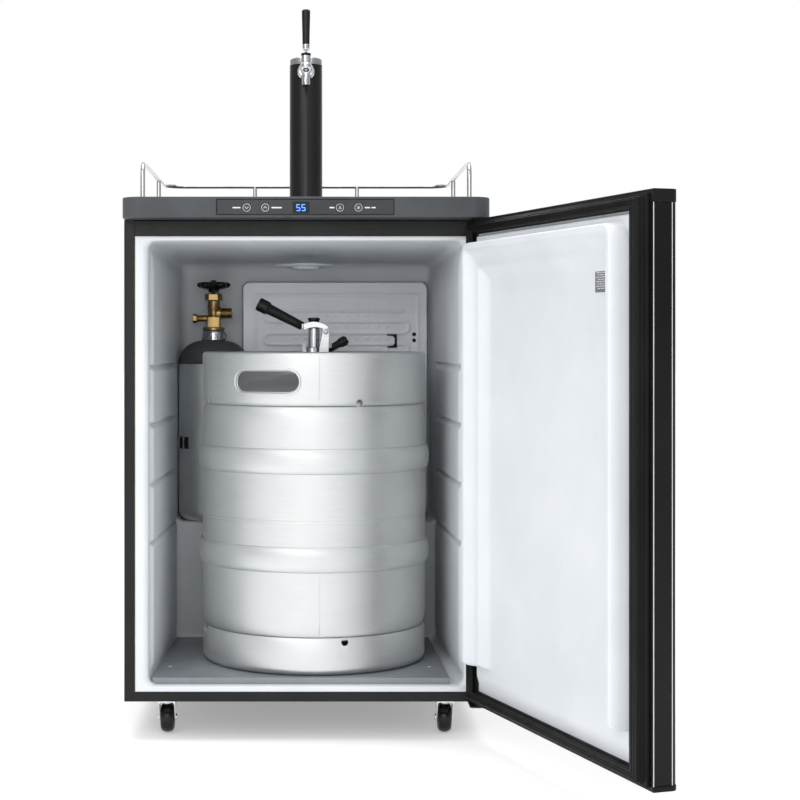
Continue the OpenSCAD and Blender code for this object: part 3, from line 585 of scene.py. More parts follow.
def ports():
    """The raised ring and cap in the ceiling under the tower, and the plug in the right wall."""
    ring = lathe([(38, 1.5), (39, -0.8), (41, -1.6), (43, -0.8), (47, 0.2), (49, -1.2), (51, -1.8),
        (53, -1.0), (55, 1.5)], 72, closed=True)
    cap = lathe([(0, -6.6), (20, -6.6), (23.4, -5.8), (24.8, -4), (25, 0), (28, 0.6), (29, 2), (27, 5),
        (0, 5)], 64)
    z = box_mm("port_caps")[0].z + 253.4
    build("ceiling_cap", moved(joined(turned(ring, -1.2, "X"), cap), TOWER.x, TOWER.y, z), "white_liner",
        "cabinet", angle=40)
    plug = lathe([(0, -3.0), (5, -3.0), (5.6, -2.2), (9, -2.2), (10, -3.4), (17, -3.4), (19.6, -2.2),
        (20, 0), (20, 2), (0, 2)], 56)
    build("wall_plug", moved(along_x(plug), 248.4, at(290), 566), "white_liner", "cabinet", "port_caps",
        angle=40)


def evaporator():
    """The roll-bond plate: a grid of points raised where the refrigerant runs."""
    lo_x, hi_x, lo_z, hi_z, corner = -124.0, 237.0, 326.0, 778.0, 14
    y = box_mm("evaporator_plate")[0].y + 3
    runs = [(-70.0, 190.0, 370 + 22.0 * i) for i in range(17)]

    def raised(x, z):
        """Height above the sheet: the long channel's runs and bends, the border line, the dimples."""
        best = 99.0  # distance to the nearest channel
        for i, (x0, x1, rz) in enumerate(runs):
            best = min(best, abs(z - rz) if x0 <= x <= x1 else hypot(x - (x0 if x < x0 else x1), z - rz))
            if i < len(runs) - 1:
                end, side = (x1, 1) if i % 2 == 0 else (x0, -1)
                if (x - end) * side > 0:
                    best = min(best, abs(hypot(x - end, z - rz - 11) - 11))
        frame_line = min(abs(abs(x - 60) - 158), 99) if 345 < z < 752 else 99
        rim = min(abs(z - 752), 99) if abs(x - 60) < 158 else 99
        height = 0.9 * smooth(1 - best / 3.0) + 0.9 * smooth(1 - min(frame_line, rim) / 2.2)
        if 636 < z < 746 and -30 < x < 165:
            height += 0.9 * smooth(1 - hypot((x + 30) % 20 - 10, (z - 636) % 22 - 11) / 4)
        return height

    xs = levels(lo_x, hi_x, 2.6)
    zs = levels(lo_z, hi_z, 2.6)
    rows = [[Vector((x, y - raised(x, z), z)) for x in xs] for z in zs]
    points, faces = loft(rows, caps=False, around=False)
    kept = []
    for face in faces:
        c = sum((points[i] for i in face), Vector()) / 4
        dx = max(lo_x + corner - c.x, c.x - (hi_x - corner), 0)
        dz = max(lo_z + corner - c.z, c.z - (hi_z - corner), 0)
        if hypot(dx, dz) <= corner:
            kept.append(face)
    plate = build("cold_plate", (points, kept), "evaporator_aluminium", "cabinet", "evaporator_plate",
        angle=60)
    mod = plate.modifiers.new("thick", "SOLIDIFY")
    mod.thickness, mod.offset = 1.0 * MM, 1.0
    post = along_y(lathe(rect(0, 0, 5, 9.6), 24))
    posts = [moved(post, x, y + 10.6, z) for x in (-100, 215) for z in (350, 755)]
    build("plate_posts", joined(*posts), "zinc_steel", "cabinet")
    clip = [(0, 0), (19, 0), (19, 26), (0, 26), (0, 23.5), (11, 23), (15, 19), (15, 8), (11, 3.5),
        (0, 2.5)]
    build("sensor_clip", facing(rounded(clip, 0.6, 3, True), 0, 5, 158, y - 1.6, 650), "black_plastic",
        "cabinet", bevel=0.5)
    grommet = along_y(lathe([(0, 0), (3.6, 0), (3.6, 1.2), (2.6, 1.8), (0, 1.0)], 20))
    pair = [moved(grommet, 211, y - 0.8, z) for z in (664, 676)]
    build("sensor_grommets", joined(*pair), "black_plastic", "cabinet")


def keg_floor():
    """The folded plate under the keg, with its front lip and two screws."""
    lo, hi = box_mm("floor_plate")
    top = hi.z - 1.4
    plan = [(lo.x, lo.y), (hi.x, lo.y), (hi.x - 7, hi.y), (lo.x + 11, hi.y)]
    sheet = prism(rounded(plan, 3, 4, True), top - 1.2, top)
    lip = prism(rect(lo.x + 1, lo.y, hi.x - 1, lo.y + 1.4), lo.z, top - 0.6)
    head = lathe([(0, 1.2), (2.2, 1.3), (4, 0.8), (4.4, 0), (0, 0)], 24)
    screws = [moved(head, x, at(112), top) for x in (-233, 212)]
    ribs = [prism(rect(-230, at(y), 220, at(y) + 1.2), lo.z, top - 1) for y in (130, 260, 390)]
    build("keg_plate", joined(sheet, lip, *ribs), "grey_steel", "cabinet", "floor_plate", bevel=0.4)
    build("plate_screws", joined(*screws), "zinc_steel", "cabinet")


def worktop():
    """The moulded top, with the control strip's groove and the hole for the beer line."""
    lo, hi = TOP_LO, TOP_HI
    plan = rounded(rect(lo.x, lo.y, hi.x, hi.y), [30, 30, 10, 10], 14, True)
    top = build("worktop_moulding", prism(plan, lo.z, hi.z), "worktop_plastic", "cabinet", "worktop",
        bevel=2.2, segments=4)
    strip_lo, strip_hi = box_mm("control_fascia")
    groove = prism(rect(strip_lo.x - 0.8, lo.y - 1, strip_hi.x + 0.8, strip_lo.y + 3.2),
        strip_lo.z - 0.8, strip_hi.z + 0.8)
    cut(top, groove, prism(arc(TOWER.x, TOWER.y, 17, 0, 348, 29), lo.z - 5, hi.z + 5))


def printed(name, outlines, y, body, look="print_white", thick=0.16):
    """Thin flat marks that face the front; each outline is a list of (x, z)."""
    build(name, joined(*[facing(outline, 0, thick, y=y) for outline in outlines]), look, body)


def band(points, width):
    """The outline of a bent stroke of even width."""
    pts = [Vector(p) for p in points]
    left, right = [], []
    for i, p in enumerate(pts):
        a, b = pts[max(i - 1, 0)], pts[min(i + 1, len(pts) - 1)]
        along = (b - a).normalized()
        side = Vector((-along.y, along.x)) * width / 2
        left.append(tuple(p + side))
        right.append(tuple(p - side))
    return left + right[::-1]


def ring_outline(cx, cz, r0, r1, n=40):
    """A circle stroke as quads, because one outline can't have a hole."""
    inner, outer = arc(cx, cz, r0, 0, 360, n), arc(cx, cz, r1, 0, 360, n)
    return [[inner[i], outer[i], outer[i + 1], inner[i + 1]] for i in range(n)]


def controls():
    """The strip with its four keys, their icons and legends, and the lit two-digit display."""
    lo, hi = box_mm("control_fascia")
    keys = {"key_down": -1, "key_up": 1, "key_unit": 0, "key_chill": 2}
    places = {node: (middle(node), box_mm(node)[0].y) for node in keys}
    z = places["key_down"][0].z
    plan = rounded(rect(lo.x, lo.z, hi.x, hi.z), 1.5, 4, True)
    strip = build("control_strip", facing(plan, -3, 0, y=lo.y), "fascia_plastic", "cabinet",
        "control_fascia", bevel=0.35)
    d_lo, d_hi = box_mm("display_module")
    wells = [arc(centre.x, z, 7.25, 0, 350, 35) for centre, _ in places.values()]
    wells.append(rounded(rect(-21.3, z - 9.3, 5.3, z + 9.3), 1, 3, True))
    cut(strip, *[facing(well, -5, 5, y=lo.y) for well in wells])
    for node, icon in keys.items():
        centre, face = places[node]
        cap = lathe([(0, 0), (4.5, 0.12), (6.3, 0.1), (6.9, -0.25), (7.0, -0.9), (7.0, -3.6), (9, -3.6),
            (9, -5.4), (0, -5.4)], 48)
        build(node + "_cap", moved(along_y(cap), centre.x, face + 0.12, z), "fascia_plastic", node, node)
        x = centre.x
        marks = ring_outline(x, z, 5.7, 6.35)
        if abs(icon) == 1:
            marks += [band([(x + s * 3, z - 1.3 * icon), (x, z + 1.7 * icon)][::-s], 0.8)
                for s in (-1, 1)]
        elif icon == 0:
            marks += [band([(x - 2, z - 2.6), (x + 0.6, z + 2.6)], 0.7),
                band([(x + 1, z - 2), (x + 3, z - 2)], 0.7), band([(x + 1, z - 2), (x + 1, z + 1)], 0.7)]
        else:
            for a in (30, 90, 150):
                dx, dz = 3 * cosd(a), 3 * sind(a)
                marks.append(band([(x - dx, z - dz), (x + dx, z + dz)], 0.65))
        printed(node + "_icon", marks, face + 0.02, node)
    bars = [(-119, -106), (-56, -39), (38, 46), (95, 104), (106, 113)]
    printed("key_legends", [rounded(rect(a, z - 1.1, b, z + 1.1), 1.0, 3, True) for a, b in bars],
        lo.y - 0.02, "cabinet")
    glass = prism(rounded(rect(d_lo.x + 2, z - 9, d_hi.x - 2, z + 9), 0.8, 3, True), -5, -0.1)
    back = prism(rounded(rect(d_lo.x, z - 9.5, d_hi.x, z + 9.5), 0.8, 3, True), -8.9, -5)
    build("display_window", joined(moved(along_y(glass), y=lo.y), moved(along_y(back), y=lo.y)),
        "display_glass", "cabinet", "display_module", bevel=0.3)
    segments = []
    for left in (-15.6, -7.2):
        w, h, s = 6.2, 11.0, 1.25
        b, m, t = z - h / 2, z, z + h / 2
        for z0 in (b, m - s / 2, t - s):
            segments.append(rect(left + 0.5, z0, left + w - 0.5, z0 + s))
        segments.append(rect(left, m + 0.3, left + s, t - 0.5))
        segments.append(rect(left + w - s, b + 0.5, left + w, m - 0.3))
    printed("display_digits", segments, lo.y + 0.06, "cabinet", "digit_blue")


def rail():
    """One bent tube that comes down at both front corners, its middle posts, and a foot under each."""
    lo, hi = box_mm("guard_rail")
    r, top = 4.0, hi.z - 4
    x, front, back = hi.x - 8, lo.y + 8, hi.y - 4
    base = TOP_HI.z
    side = [(x, front, base), (x, front, top), (x, back, top), (0, back, top)]
    half = rounded(side, [0, 22, 40, 0], 10)
    path = half + [Vector((-p.x, p.y, p.z)) for p in half[::-1][1:]]
    mid, inner = at(337), 98
    parts = [tube(path, r, 20)]
    foot = lathe([(0, 0), (8, 0), (8, 1.2), (7.2, 2.6), (4.6, 3.4), (4.2, 4.0), (0, 4.0)], 32)
    for s in (-1, 1):
        for px, py in ((x, mid), (inner, back)):
            parts.append(tube([(s * px, py, base), (s * px, py, top)], r - 0.02, 20))
        for px, py in ((x, front), (x, mid), (inner, back)):
            parts.append(moved(foot, s * px, py, base))
    build("rail_tube", joined(*parts), "chrome", "cabinet", "guard_rail", angle=45)


def tray():
    """The pan with its rolled edge, and the slotted screen that lies in it."""
    lo, hi = box_mm("drip_tray")
    z0, z1 = lo.z, hi.z

    def plan(inset, r):
        return rounded(rect(lo.x + inset, lo.y + inset, hi.x - inset, hi.y - inset), r, 8, True)

    wall = [(1, 11, z0), (0, 12, z0 + 1), (0, 12, z1 - 1), (0.6, 11.4, z1 - 0.2), (1.2, 11, z1),
        (1.8, 10.4, z1 - 0.4), (2, 10, z1 - 2.5), (6, 7, z1 - 2.7), (6.5, 7, z0 + 3), (8.5, 6, z0 + 1.6)]
    rings = [[(p.x, p.y, z) for p in plan(inset, r)] for inset, r, z in wall]
    build("drip_pan", loft(rings), "stainless", "drip_tray", "drip_tray", angle=50)
    grille_lo, grille_hi = box_mm("drip_grille")
    sheet = build("drip_screen", prism(plan(2.5, 9.5), grille_lo.z, grille_hi.z), "stainless",
        "drip_grille", "drip_grille", bevel=0.35)
    y = (lo.y + hi.y) / 2
    slots = []
    for i in range(-6, 7):
        slot = rounded(rect(10.5 * i - 2.5, y - 42, 10.5 * i + 2.5, y + 42), 2.49, 8, True)
        slots.append(prism(slot, grille_lo.z - 2, grille_hi.z + 2))
    cut(sheet, joined(*slots))


def tower():
    """The draft tower: flared foot with four screws, tube with the shank's hole, and chrome lid."""
    base, top, r = COLUMN_LO.z, COLUMN_HI.z, COLUMN_R
    foot = [(17, 0), (46, 0), (46, 2.6), (45.4, 3.2)]
    foot += [(r + 0.3 + 15 * (1 - sind(a)), 12 - 8.4 * cosd(a))
        for a in range(0, 91, 9)] + [(17, base - TOP_HI.z)]
    build("tower_foot", moved(lathe(foot, 72, True), TOWER.x, TOWER.y, TOP_HI.z), "tower_black",
        "cabinet", "tower_base")
    head = lathe([(0, 9.4), (1.6, 9.2), (3.2, 8.2), (3.6, 7), (3.6, 5), (0, 5)], 20)
    circle = arc(TOWER.x, TOWER.y, 38.5, 45, 315, 3)
    bolts = [moved(head, px, py, TOP_HI.z) for px, py in circle]
    build("tower_screws", joined(*bolts), "chrome", "cabinet")
    tubing = rect(r - 2.5, base, r, top)
    column = build("tower_tube", moved(lathe(tubing, 96, True), TOWER.x, TOWER.y), "tower_black",
        "cabinet", "tower_column", angle=40)
    cut(column, facing(arc(0, 0, 11.05, 0, 350, 35), 0, 40, TOWER.x, TOWER.y, SHANK_Z))
    tall = box_mm("tower_cap")[1].z - top
    cap = [(0, 0.1), (r - 6, 0.1), (r - 6, -3), (r - 2.7, -3), (r - 2.7, 0.1), (r + 0.6, 0.1),
        (r + 0.6, 1.2), (r + 0.1, 1.5), (r + 0.1, 2.3), (r + 0.6, 2.6)]
    cap += arc(r - 3.4, tall - 4.5, 4, 0, 90, 10) + [(r * 0.6, tall - 0.3), (0, tall)]
    build("tower_lid", moved(lathe(cap, 96), TOWER.x, TOWER.y, top), "chrome", "cabinet", "tower_cap")


def faucet():
    """Shank, body with its knurled nut, spout, bonnet, lever and handle, each turned about its axis."""
    wall, tap_y = TOWER.y - COLUMN_R, LEVER.y
    collar = [(11, -4), (14.5, -4), (15.5, -2.5), (15.5, 1.5), (14.6, 3), (13.4, 3.6), (11, 5)]
    shank = rect(5, -16 - COLUMN_R, 11, 14)
    nut = prism(hexagon(26), 0, 8)
    parts = [moved(along_y(lathe(collar, 64, True)), 0, wall, SHANK_Z),
        moved(along_y(lathe(shank, 40, True)), 0, wall, SHANK_Z),
        moved(along_y(nut), 0, TOWER.y - 6, SHANK_Z)]
    build("shank_collar", joined(*parts), "chrome", "cabinet", "tap_shank")
    nut_ring = [(11.1, 8.2), (12.4, 8), (13.5, 9.2), (13.5, 20.6), (12.6, 21.8), (10.5, 22), (7, 22),
        (7, 14.2), (11.1, 14.2)]
    length = wall - tap_y
    barrel = [(7.0, 20), (10.4, 20), (10.6, 24), (10, 26), (10, length + 6)]
    barrel += oval(0, length + 6, 10, 11.5, range(10, 81, 10))
    barrel += [(0, length + 17.5), (0, length + 7), (7, length + 7)]
    tooth = prism(rect(-0.55, 13.1, 0.55, 14.0), 10.2, 19.6)
    turnings = [lathe(nut_ring, 72, True), lathe(barrel, 64, True)]
    turnings += [turned(tooth, 10 * i) for i in range(36)]
    parts = [moved(along_y(shape), 0, wall, SHANK_Z) for shape in turnings]
    spout_top, spout_end = SHANK_Z - 4, box_mm("faucet_body")[0].z
    long = spout_top - spout_end
    spout = [(4.5, long), (8.6, long), (8.2, long - 5), (7.3, long - 10), (7.1, 8), (7.3, 6.6),
        (6.6, 5.8), (6.5, 0.6), (6.1, 0), (4.5, 0)]
    parts.append(moved(lathe(spout, 56, True), 0, tap_y, spout_end))
    neck_top = box_mm("faucet_bonnet")[0].z
    neck = [(7.7, 3), (9.4, 3), (8.9, 7), (9, neck_top - SHANK_Z), (7.7, neck_top - SHANK_Z)]
    parts.append(moved(lathe(neck, 56, True), 0, tap_y, SHANK_Z))
    for s in (-1, 1):
        wing = rounded([(s * 8.2, 4), (s * 10.8, 13.5), (s * 9.2, 14.6), (s * 7.6, 9)], 0.8, 4, True)
        parts.append(facing(wing, -3, 3, 0, tap_y, SHANK_Z))
    build("faucet_casting", joined(*parts), "chrome", "cabinet", "faucet_body", angle=40)
    tip = [(4.4, 0.05), (6.62, 0.05), (6.62, 3.4), (6.4, 3.8), (4.4, 3.8)]
    build("spout_tip", moved(lathe(tip, 48, True), 0, tap_y, spout_end), "black_plastic", "cabinet")
    b_lo, b_hi = box_mm("faucet_bonnet")
    bonnet = [(7.3, b_lo.z), (8.7, b_lo.z), (8.7, b_lo.z + 7)] + arc(7.2, b_hi.z - 1.5, 1.5, 0, 90, 5)
    bonnet += [(5.9, b_hi.z), (5.4, b_hi.z - 1), (7.3, LEVER.z)]
    build("bonnet_ring", moved(lathe(bonnet, 56, True), 0, tap_y), "chrome", "cabinet", "faucet_bonnet")
    washer = [(7.35, LEVER.z + 0.4), (8.76, LEVER.z + 0.4), (8.76, b_hi.z - 0.9), (8.4, b_hi.z - 0.3),
        (7.35, b_hi.z - 0.6)]
    build("bonnet_washer", moved(lathe(washer, 56, True), 0, tap_y), "black_plastic", "cabinet")
    stem = [(0, -16), (1.9, -15.6), (1.9, -6.4)]
    stem += [(6.6 * sind(a), -6.9 * cosd(a)) for a in range(15, 151, 15)]  # the ball
    stem += [(2.5, 7), (2.5, 9.5), (5, 9.7), (5.6, 10.4), (6.7, 12.8), (6.7, 13.6), (6.2, 14), (6.2, 15),
        (6.7, 15.4), (6.7, 19.8), (6.2, 20.5), (0, 20.5)]
    build("lever_stem", moved(lathe(stem, 56), 0, tap_y, LEVER.z), "chrome", "tap_lever", "tap_lever")
    z0, z1 = HANDLE_LO.z, HANDLE_HI.z
    grip = [(0, z0), (5.9, z0), (6.4, z0 + 0.6), (6.5, z0 + 3), (6.9, z0 + 22), (7.7, z1 - 6)]
    grip += arc(4.2, z1 - 4.5, 3.5, 0, 80, 8) + [(2, z1 - 0.1), (0, z1)]
    build("handle_grip", moved(lathe(grip, 64), 0, tap_y), "tower_black", "tap_lever", "tap_handle")


# ---- casters ---------------------------------------------------------------------------------

def casters():
    """Four twin-sided forks with their wheels, and the plates with the swivel stems."""
    for tag in ("fl", "fr", "rl", "rr"):
        fork, wheel = "caster_fork_" + tag, "caster_wheel_" + tag
        lo, hi = box_mm(fork)
        x = (lo.x + hi.x) / 2
        w_lo, w_hi = box_mm(wheel)
        axle = middle(wheel)
        y, r, half = axle.y - 18, (w_hi.z - w_lo.z) / 2, (w_hi.x - w_lo.x) / 2
        roof = 57.0
        race = [(5.05, hi.z), (15.2, hi.z), (16.4, hi.z - 1.4), (16.5, hi.z - 3.6), (14.8, hi.z - 5.2),
            (14.8, roof - 1.4), (5.05, roof - 1.4)]
        leg = [(-9, roof - 0.5), (27, roof - 0.5), (27, roof - 8), (25.5, 24), (22, 18.6), (14, 18.6),
            (10.5, 22), (-4, roof - 10)]
        parts = [moved(lathe(race, 56, True), x, y)]
        for s in (-1, 1):
            side = along_x(prism([(-z, b) for b, z in rounded(leg, [2, 6, 3, 5, 4, 4, 5, 4], 5, True)],
                12.1, 14.5))
            parts.append(moved(mirrored(side, x=s), x, y))
            nut = along_x(lathe([(0, 14.5), (5.6, 14.5), (5.6, 15.6), (4.6, 16.5), (2.6, 16.6),
                (2.4, 16), (0, 16)], 28))
            parts.append(moved(mirrored(nut, x=s), x, axle.y, axle.z))
        hood = [(-14.5, roof - 4), (-14.5, roof - 1.4), (-13.2, roof), (13.2, roof), (14.5, roof - 1.4),
            (14.5, roof - 4), (12.1, roof - 4), (12.1, roof - 2.6), (-12.1, roof - 2.6),
            (-12.1, roof - 4)]
        parts.append(facing(hood, -27, 9, x, y, 0))
        axle_bar = along_x(lathe(rect(0, -14.4, 3, 14.4), 24))
        parts.append(moved(axle_bar, x, axle.y, axle.z))
        build(fork + "_frame", joined(*parts), "caster_chrome", fork, fork, bevel=0.35, angle=40)
        tread = arc(r - 7.2, 0, 7.2, -78, 78, 18)
        scale = (half - 0.4) / 7.05
        profile = [(3.05, -half), (8.6, -half), (9.2, -half + 1.4), (17, -half + 1.6)]
        profile += [(a, b * scale) for a, b in tread]
        profile += [(17, half - 1.6), (9.2, half - 1.4), (8.6, half), (3.05, half)]
        build(wheel + "_tyre", moved(along_x(lathe(profile, 72, True)), x, axle.y, axle.z),
            "caster_tyre", wheel, wheel, angle=40)
    lo, hi = box_mm("caster_plates")
    parts = []
    stem = lathe([(0, lo.z), (6.6, lo.z), (7.5, lo.z + 0.8), (7.5, 53.6), (5, 53.7), (5, 64.6),
        (0, 64.6)], 32)
    plate = prism(rounded(rect(-31, -28, 31, 28), 6, 5, True), 64.5, hi.z)
    for sx, sy in CORNERS:
        parts.append(moved(joined(plate, stem), sx * (hi.x - 31), sy * (hi.y - 28)))
    build("caster_mounts", joined(*parts), "zinc_steel", "cabinet", "caster_plates", bevel=0.3)


# ---- door --------------------------------------------------------------------------------------

# depths of the door's outer face, its inner edge and the top of the liner's ridge, with the door shut
DOOR_OUT, DOOR_IN, RIDGE = -52.0, -14.0, 22.0
DOOR_Z0, DOOR_Z1 = (corner.z for corner in box_mm("door_end_caps"))
DOOR_HALF = 300.0


def door_plan(grow, r):
    """The door seen from above, grown a little for the end caps; r rounds its two outer corners."""
    half = DOOR_HALF + grow
    return rounded(rect(-half, at(DOOR_OUT + 1 - grow), half, at(DOOR_IN)), [r, r, 1.2, 1.2], 12, True)


def door_metal():
    """The wrapped outer skin, a painted highlight along its free edge, and the moulded caps at the top and the
    bottom.
    """
    skin = prism(door_plan(0, 9), DOOR_Z0 + 8, DOOR_Z1 - 18)
    build("door_wrap", skin, "door_black", "door", "door_skin", bevel=0.5, door=True)
    # painted highlight: two thin bright zinc-coloured bars along the free vertical edge stand in for the shine on
    # the skin's rounded edges
    u = 0.4 - DOOR_HALF
    edge_highlights = [tube([(u, at(d), DOOR_Z0 + 8), (u, at(d), DOOR_Z1 - 18)], 0.8, 10)
        for d in (DOOR_IN - 1.2, DOOR_OUT + 9.5)]
    build("door_edge_highlights", joined(*edge_highlights), "zinc_steel", "door", angle=60, door=True)
    ends = (DOOR_Z0, DOOR_Z0 + 7.8), (DOOR_Z1 - 17.6, DOOR_Z1)
    parts = [prism(door_plan(1, 10), z0, z1) for z0, z1 in ends]
    build("door_caps", joined(*parts), "black_plastic", "door", "door_end_caps", bevel=1.4, segments=4,
        door=True)


def door_inside():
    """The moulded door liner as one height field: flange, panel and the ridge round three sides."""
    half, top, corner = 250, 819, 24  # the ridge's outer edge

    def height(u, z):
        """The liner's depth: a step up from the flange, then the ridge that falls away inwards."""
        edge = min(252 - abs(u), 832 - z)
        bottom = z - 98
        flange = DOOR_IN + 1.4
        base = flange + (-6 - flange) * smooth(edge / 5) * smooth(bottom / 30)
        beside, above = half - abs(u), top - z
        if max(beside, above) < corner:
            inside = corner - hypot(corner - beside, corner - above)
        else:
            inside = min(beside, above)
        wide = 42 if above < beside else 36
        if inside <= 0:
            ridge = 0.0  # from 0 on the panel to 1 on the ridge's crest
        elif inside < 4:
            ridge = sqrt(max(0.0, 1 - ((4 - inside) / 4) ** 2))
        elif inside < 13:
            ridge = 1.0
        else:
            t = min((inside - 13) / (wide + 14), 1)
            ridge = 1 - t - 0.16 * sin(2 * pi * t) if t < 0.5 else (1 - t) ** 2 * 2
        low = min(max(z - 141, 0) / 9, 1)
        return base + (RIDGE - base) * ridge * sqrt(1 - (1 - low) ** 2)

    us = levels(-284, 284, 14, (-254, -234, 1.1), (234, 254, 1.1), (-234, -190, 3), (190, 234, 3))
    zs = levels(84, 846, 14, (96, 132, 4), (136, 154, 1.0), (750, 804, 3), (804, 834, 1.1))
    rows = [[Vector((u, at(height(u, z)), z)) for u in us] for z in zs]
    sheet = build("door_moulding", loft(rows, caps=False, around=False), "white_liner", "door",
        ("door_liner", "door_insulation"), angle=70, door=True)
    mod = sheet.modifiers.new("thick", "SOLIDIFY")
    mod.thickness, mod.offset = 1.2 * MM, 1.0


def gasket():
    """The seal as mitred rings: its section is swept round the door's rectangle."""
    centre_z = 465.0
    profile = [(291, DOOR_IN + 0.1), (291, -10.4), (290.2, -9.4), (286, -8.6), (284.6, -7.6),
        (284, -6.4), (284.2, -4.6), (283.4, -4.0), (281.4, -4.4), (280.4, -3.6), (280.2, -2.0),
        (279.4, -0.9), (277.8, -0.5), (275.2, -0.5), (274.4, -1.5), (273.6, -1.5), (272.8, -0.5),
        (269.0, -0.5), (268.2, -1.5), (267.4, -1.5), (266.6, -0.5), (262, -0.5), (260.4, -0.8),
        (258.6, -1.8), (258, -3.4), (259, -4.4), (261.6, -4.8), (262, -6.4), (260, -8.2), (255, -8.8),
        (254.2, -9.6), (254, DOOR_IN + 0.1)]
    rings = []
    for half, d in profile:
        tall = half + 97 + 17 * (291 - half) / 37
        rings.append([(u, at(d), z) for u, z in rect(-half, centre_z - tall, half, centre_z + tall)])
    build("seal_frame", loft(rings + [rings[0]], caps=False), "gasket_rubber", "door", "door_gasket",
        angle=50, door=True)


def door_label():
    """A plain information sticker: a white border, a grey field and rows of short bars."""
    u0, u1, z0, z1, d = -194.0, -155.0, 725.0, 772.0, -5.6
    build("sticker_paper", facing(rounded(rect(u0, z0, u1, z1), 1.2, 4, True), -0.1, 0.1, y=at(d)),
        "print_white", "door", door=True)
    field = rounded(rect(u0 + 2.0, z0 + 1.6, u1 - 2.0, z1 - 1.6), 0.6, 3, True)
    build("sticker_field", facing(field, -0.16, -0.1, y=at(d)), "label_grey", "door", door=True)
    rows = []
    for i in range(12):
        x, z = u0 + 3.6, z1 - 6.5 - 3.1 * i
        for k, length in enumerate(((12, 5, 9), (8, 11, 4), (14, 6, 7), (6, 9, 8))[i % 4]):
            rows.append(prism(rect(x, z, x + length, z + 1.1), -0.2, -0.16))
            x += length + 1.6
    build("sticker_lines", moved(along_y(joined(*rows)), y=at(d)), "print_white", "door", door=True)


def hinges():
    """The upper and the lower bracket with their pins."""
    low_z, top_z = (corner.z for corner in box_mm("hinge_brackets"))
    x, y = HINGE.x, HINGE.y
    parts = []
    arms = (top_z - 2, top_z, 272, 298.5, at(38)), (low_z, low_z + 3, 267, 299, at(60))
    for z0, z1, x0, x1, y1 in arms:
        parts.append(prism(rounded(rect(x0, y - 9, x1, y1), [6, 6, 1, 1], 6, True), z0, z1))
    upper = lathe([(0, -14), (3.2, -14), (4, -13), (4, 0.8), (0, 0.8)], 28)
    lower = lathe([(0, 0), (8, 0), (8, 3.6), (7, 4.3), (4, 4.3), (4, 12), (3.2, 12.6), (0, 12.6)], 32)
    parts += [moved(upper, x, y, DOOR_Z1), moved(lower, x, y, low_z + 3)]
    build("hinge_plates", joined(*parts), "black_steel", "cabinet", "hinge_brackets", bevel=0.3)


# ---- keg and coupler --------------------------------------------------------------------------

WELD_LO, WELD_HI = 167.0, 553.0  # where the chimes meet the drum
RING_R, SHELL_R = 203.5, 197.0  # at the rolling hoops, and between them


def on_keg(shape, x=0.0, y=0.0, z=0.0):
    return moved(shape, KEG_AT.x + x, KEG_AT.y + y, z)


def stadium(cx, cz, width, height, n=12):
    r = height / 2
    return arc(cx + width / 2 - r, cz, r, -90, 90, n) + arc(cx - width / 2 + r, cz, r, 90, 270, n)


def on_drum(outline, radius, degrees):
    """An (along, z) outline laid on an upright drum, its middle at an angle from the front."""
    found = []
    for a, z in outline:
        turn = radians(degrees) + a / radius
        found.append(Vector((KEG_AT.x + radius * sin(turn), KEG_AT.y - radius * cos(turn), z)))
    return found


def through(outline, degrees, near=150, far=230):
    """A cutter from the keg's axis outwards, at an angle from the front."""
    return on_keg(turned(facing(outline, near, far), degrees))


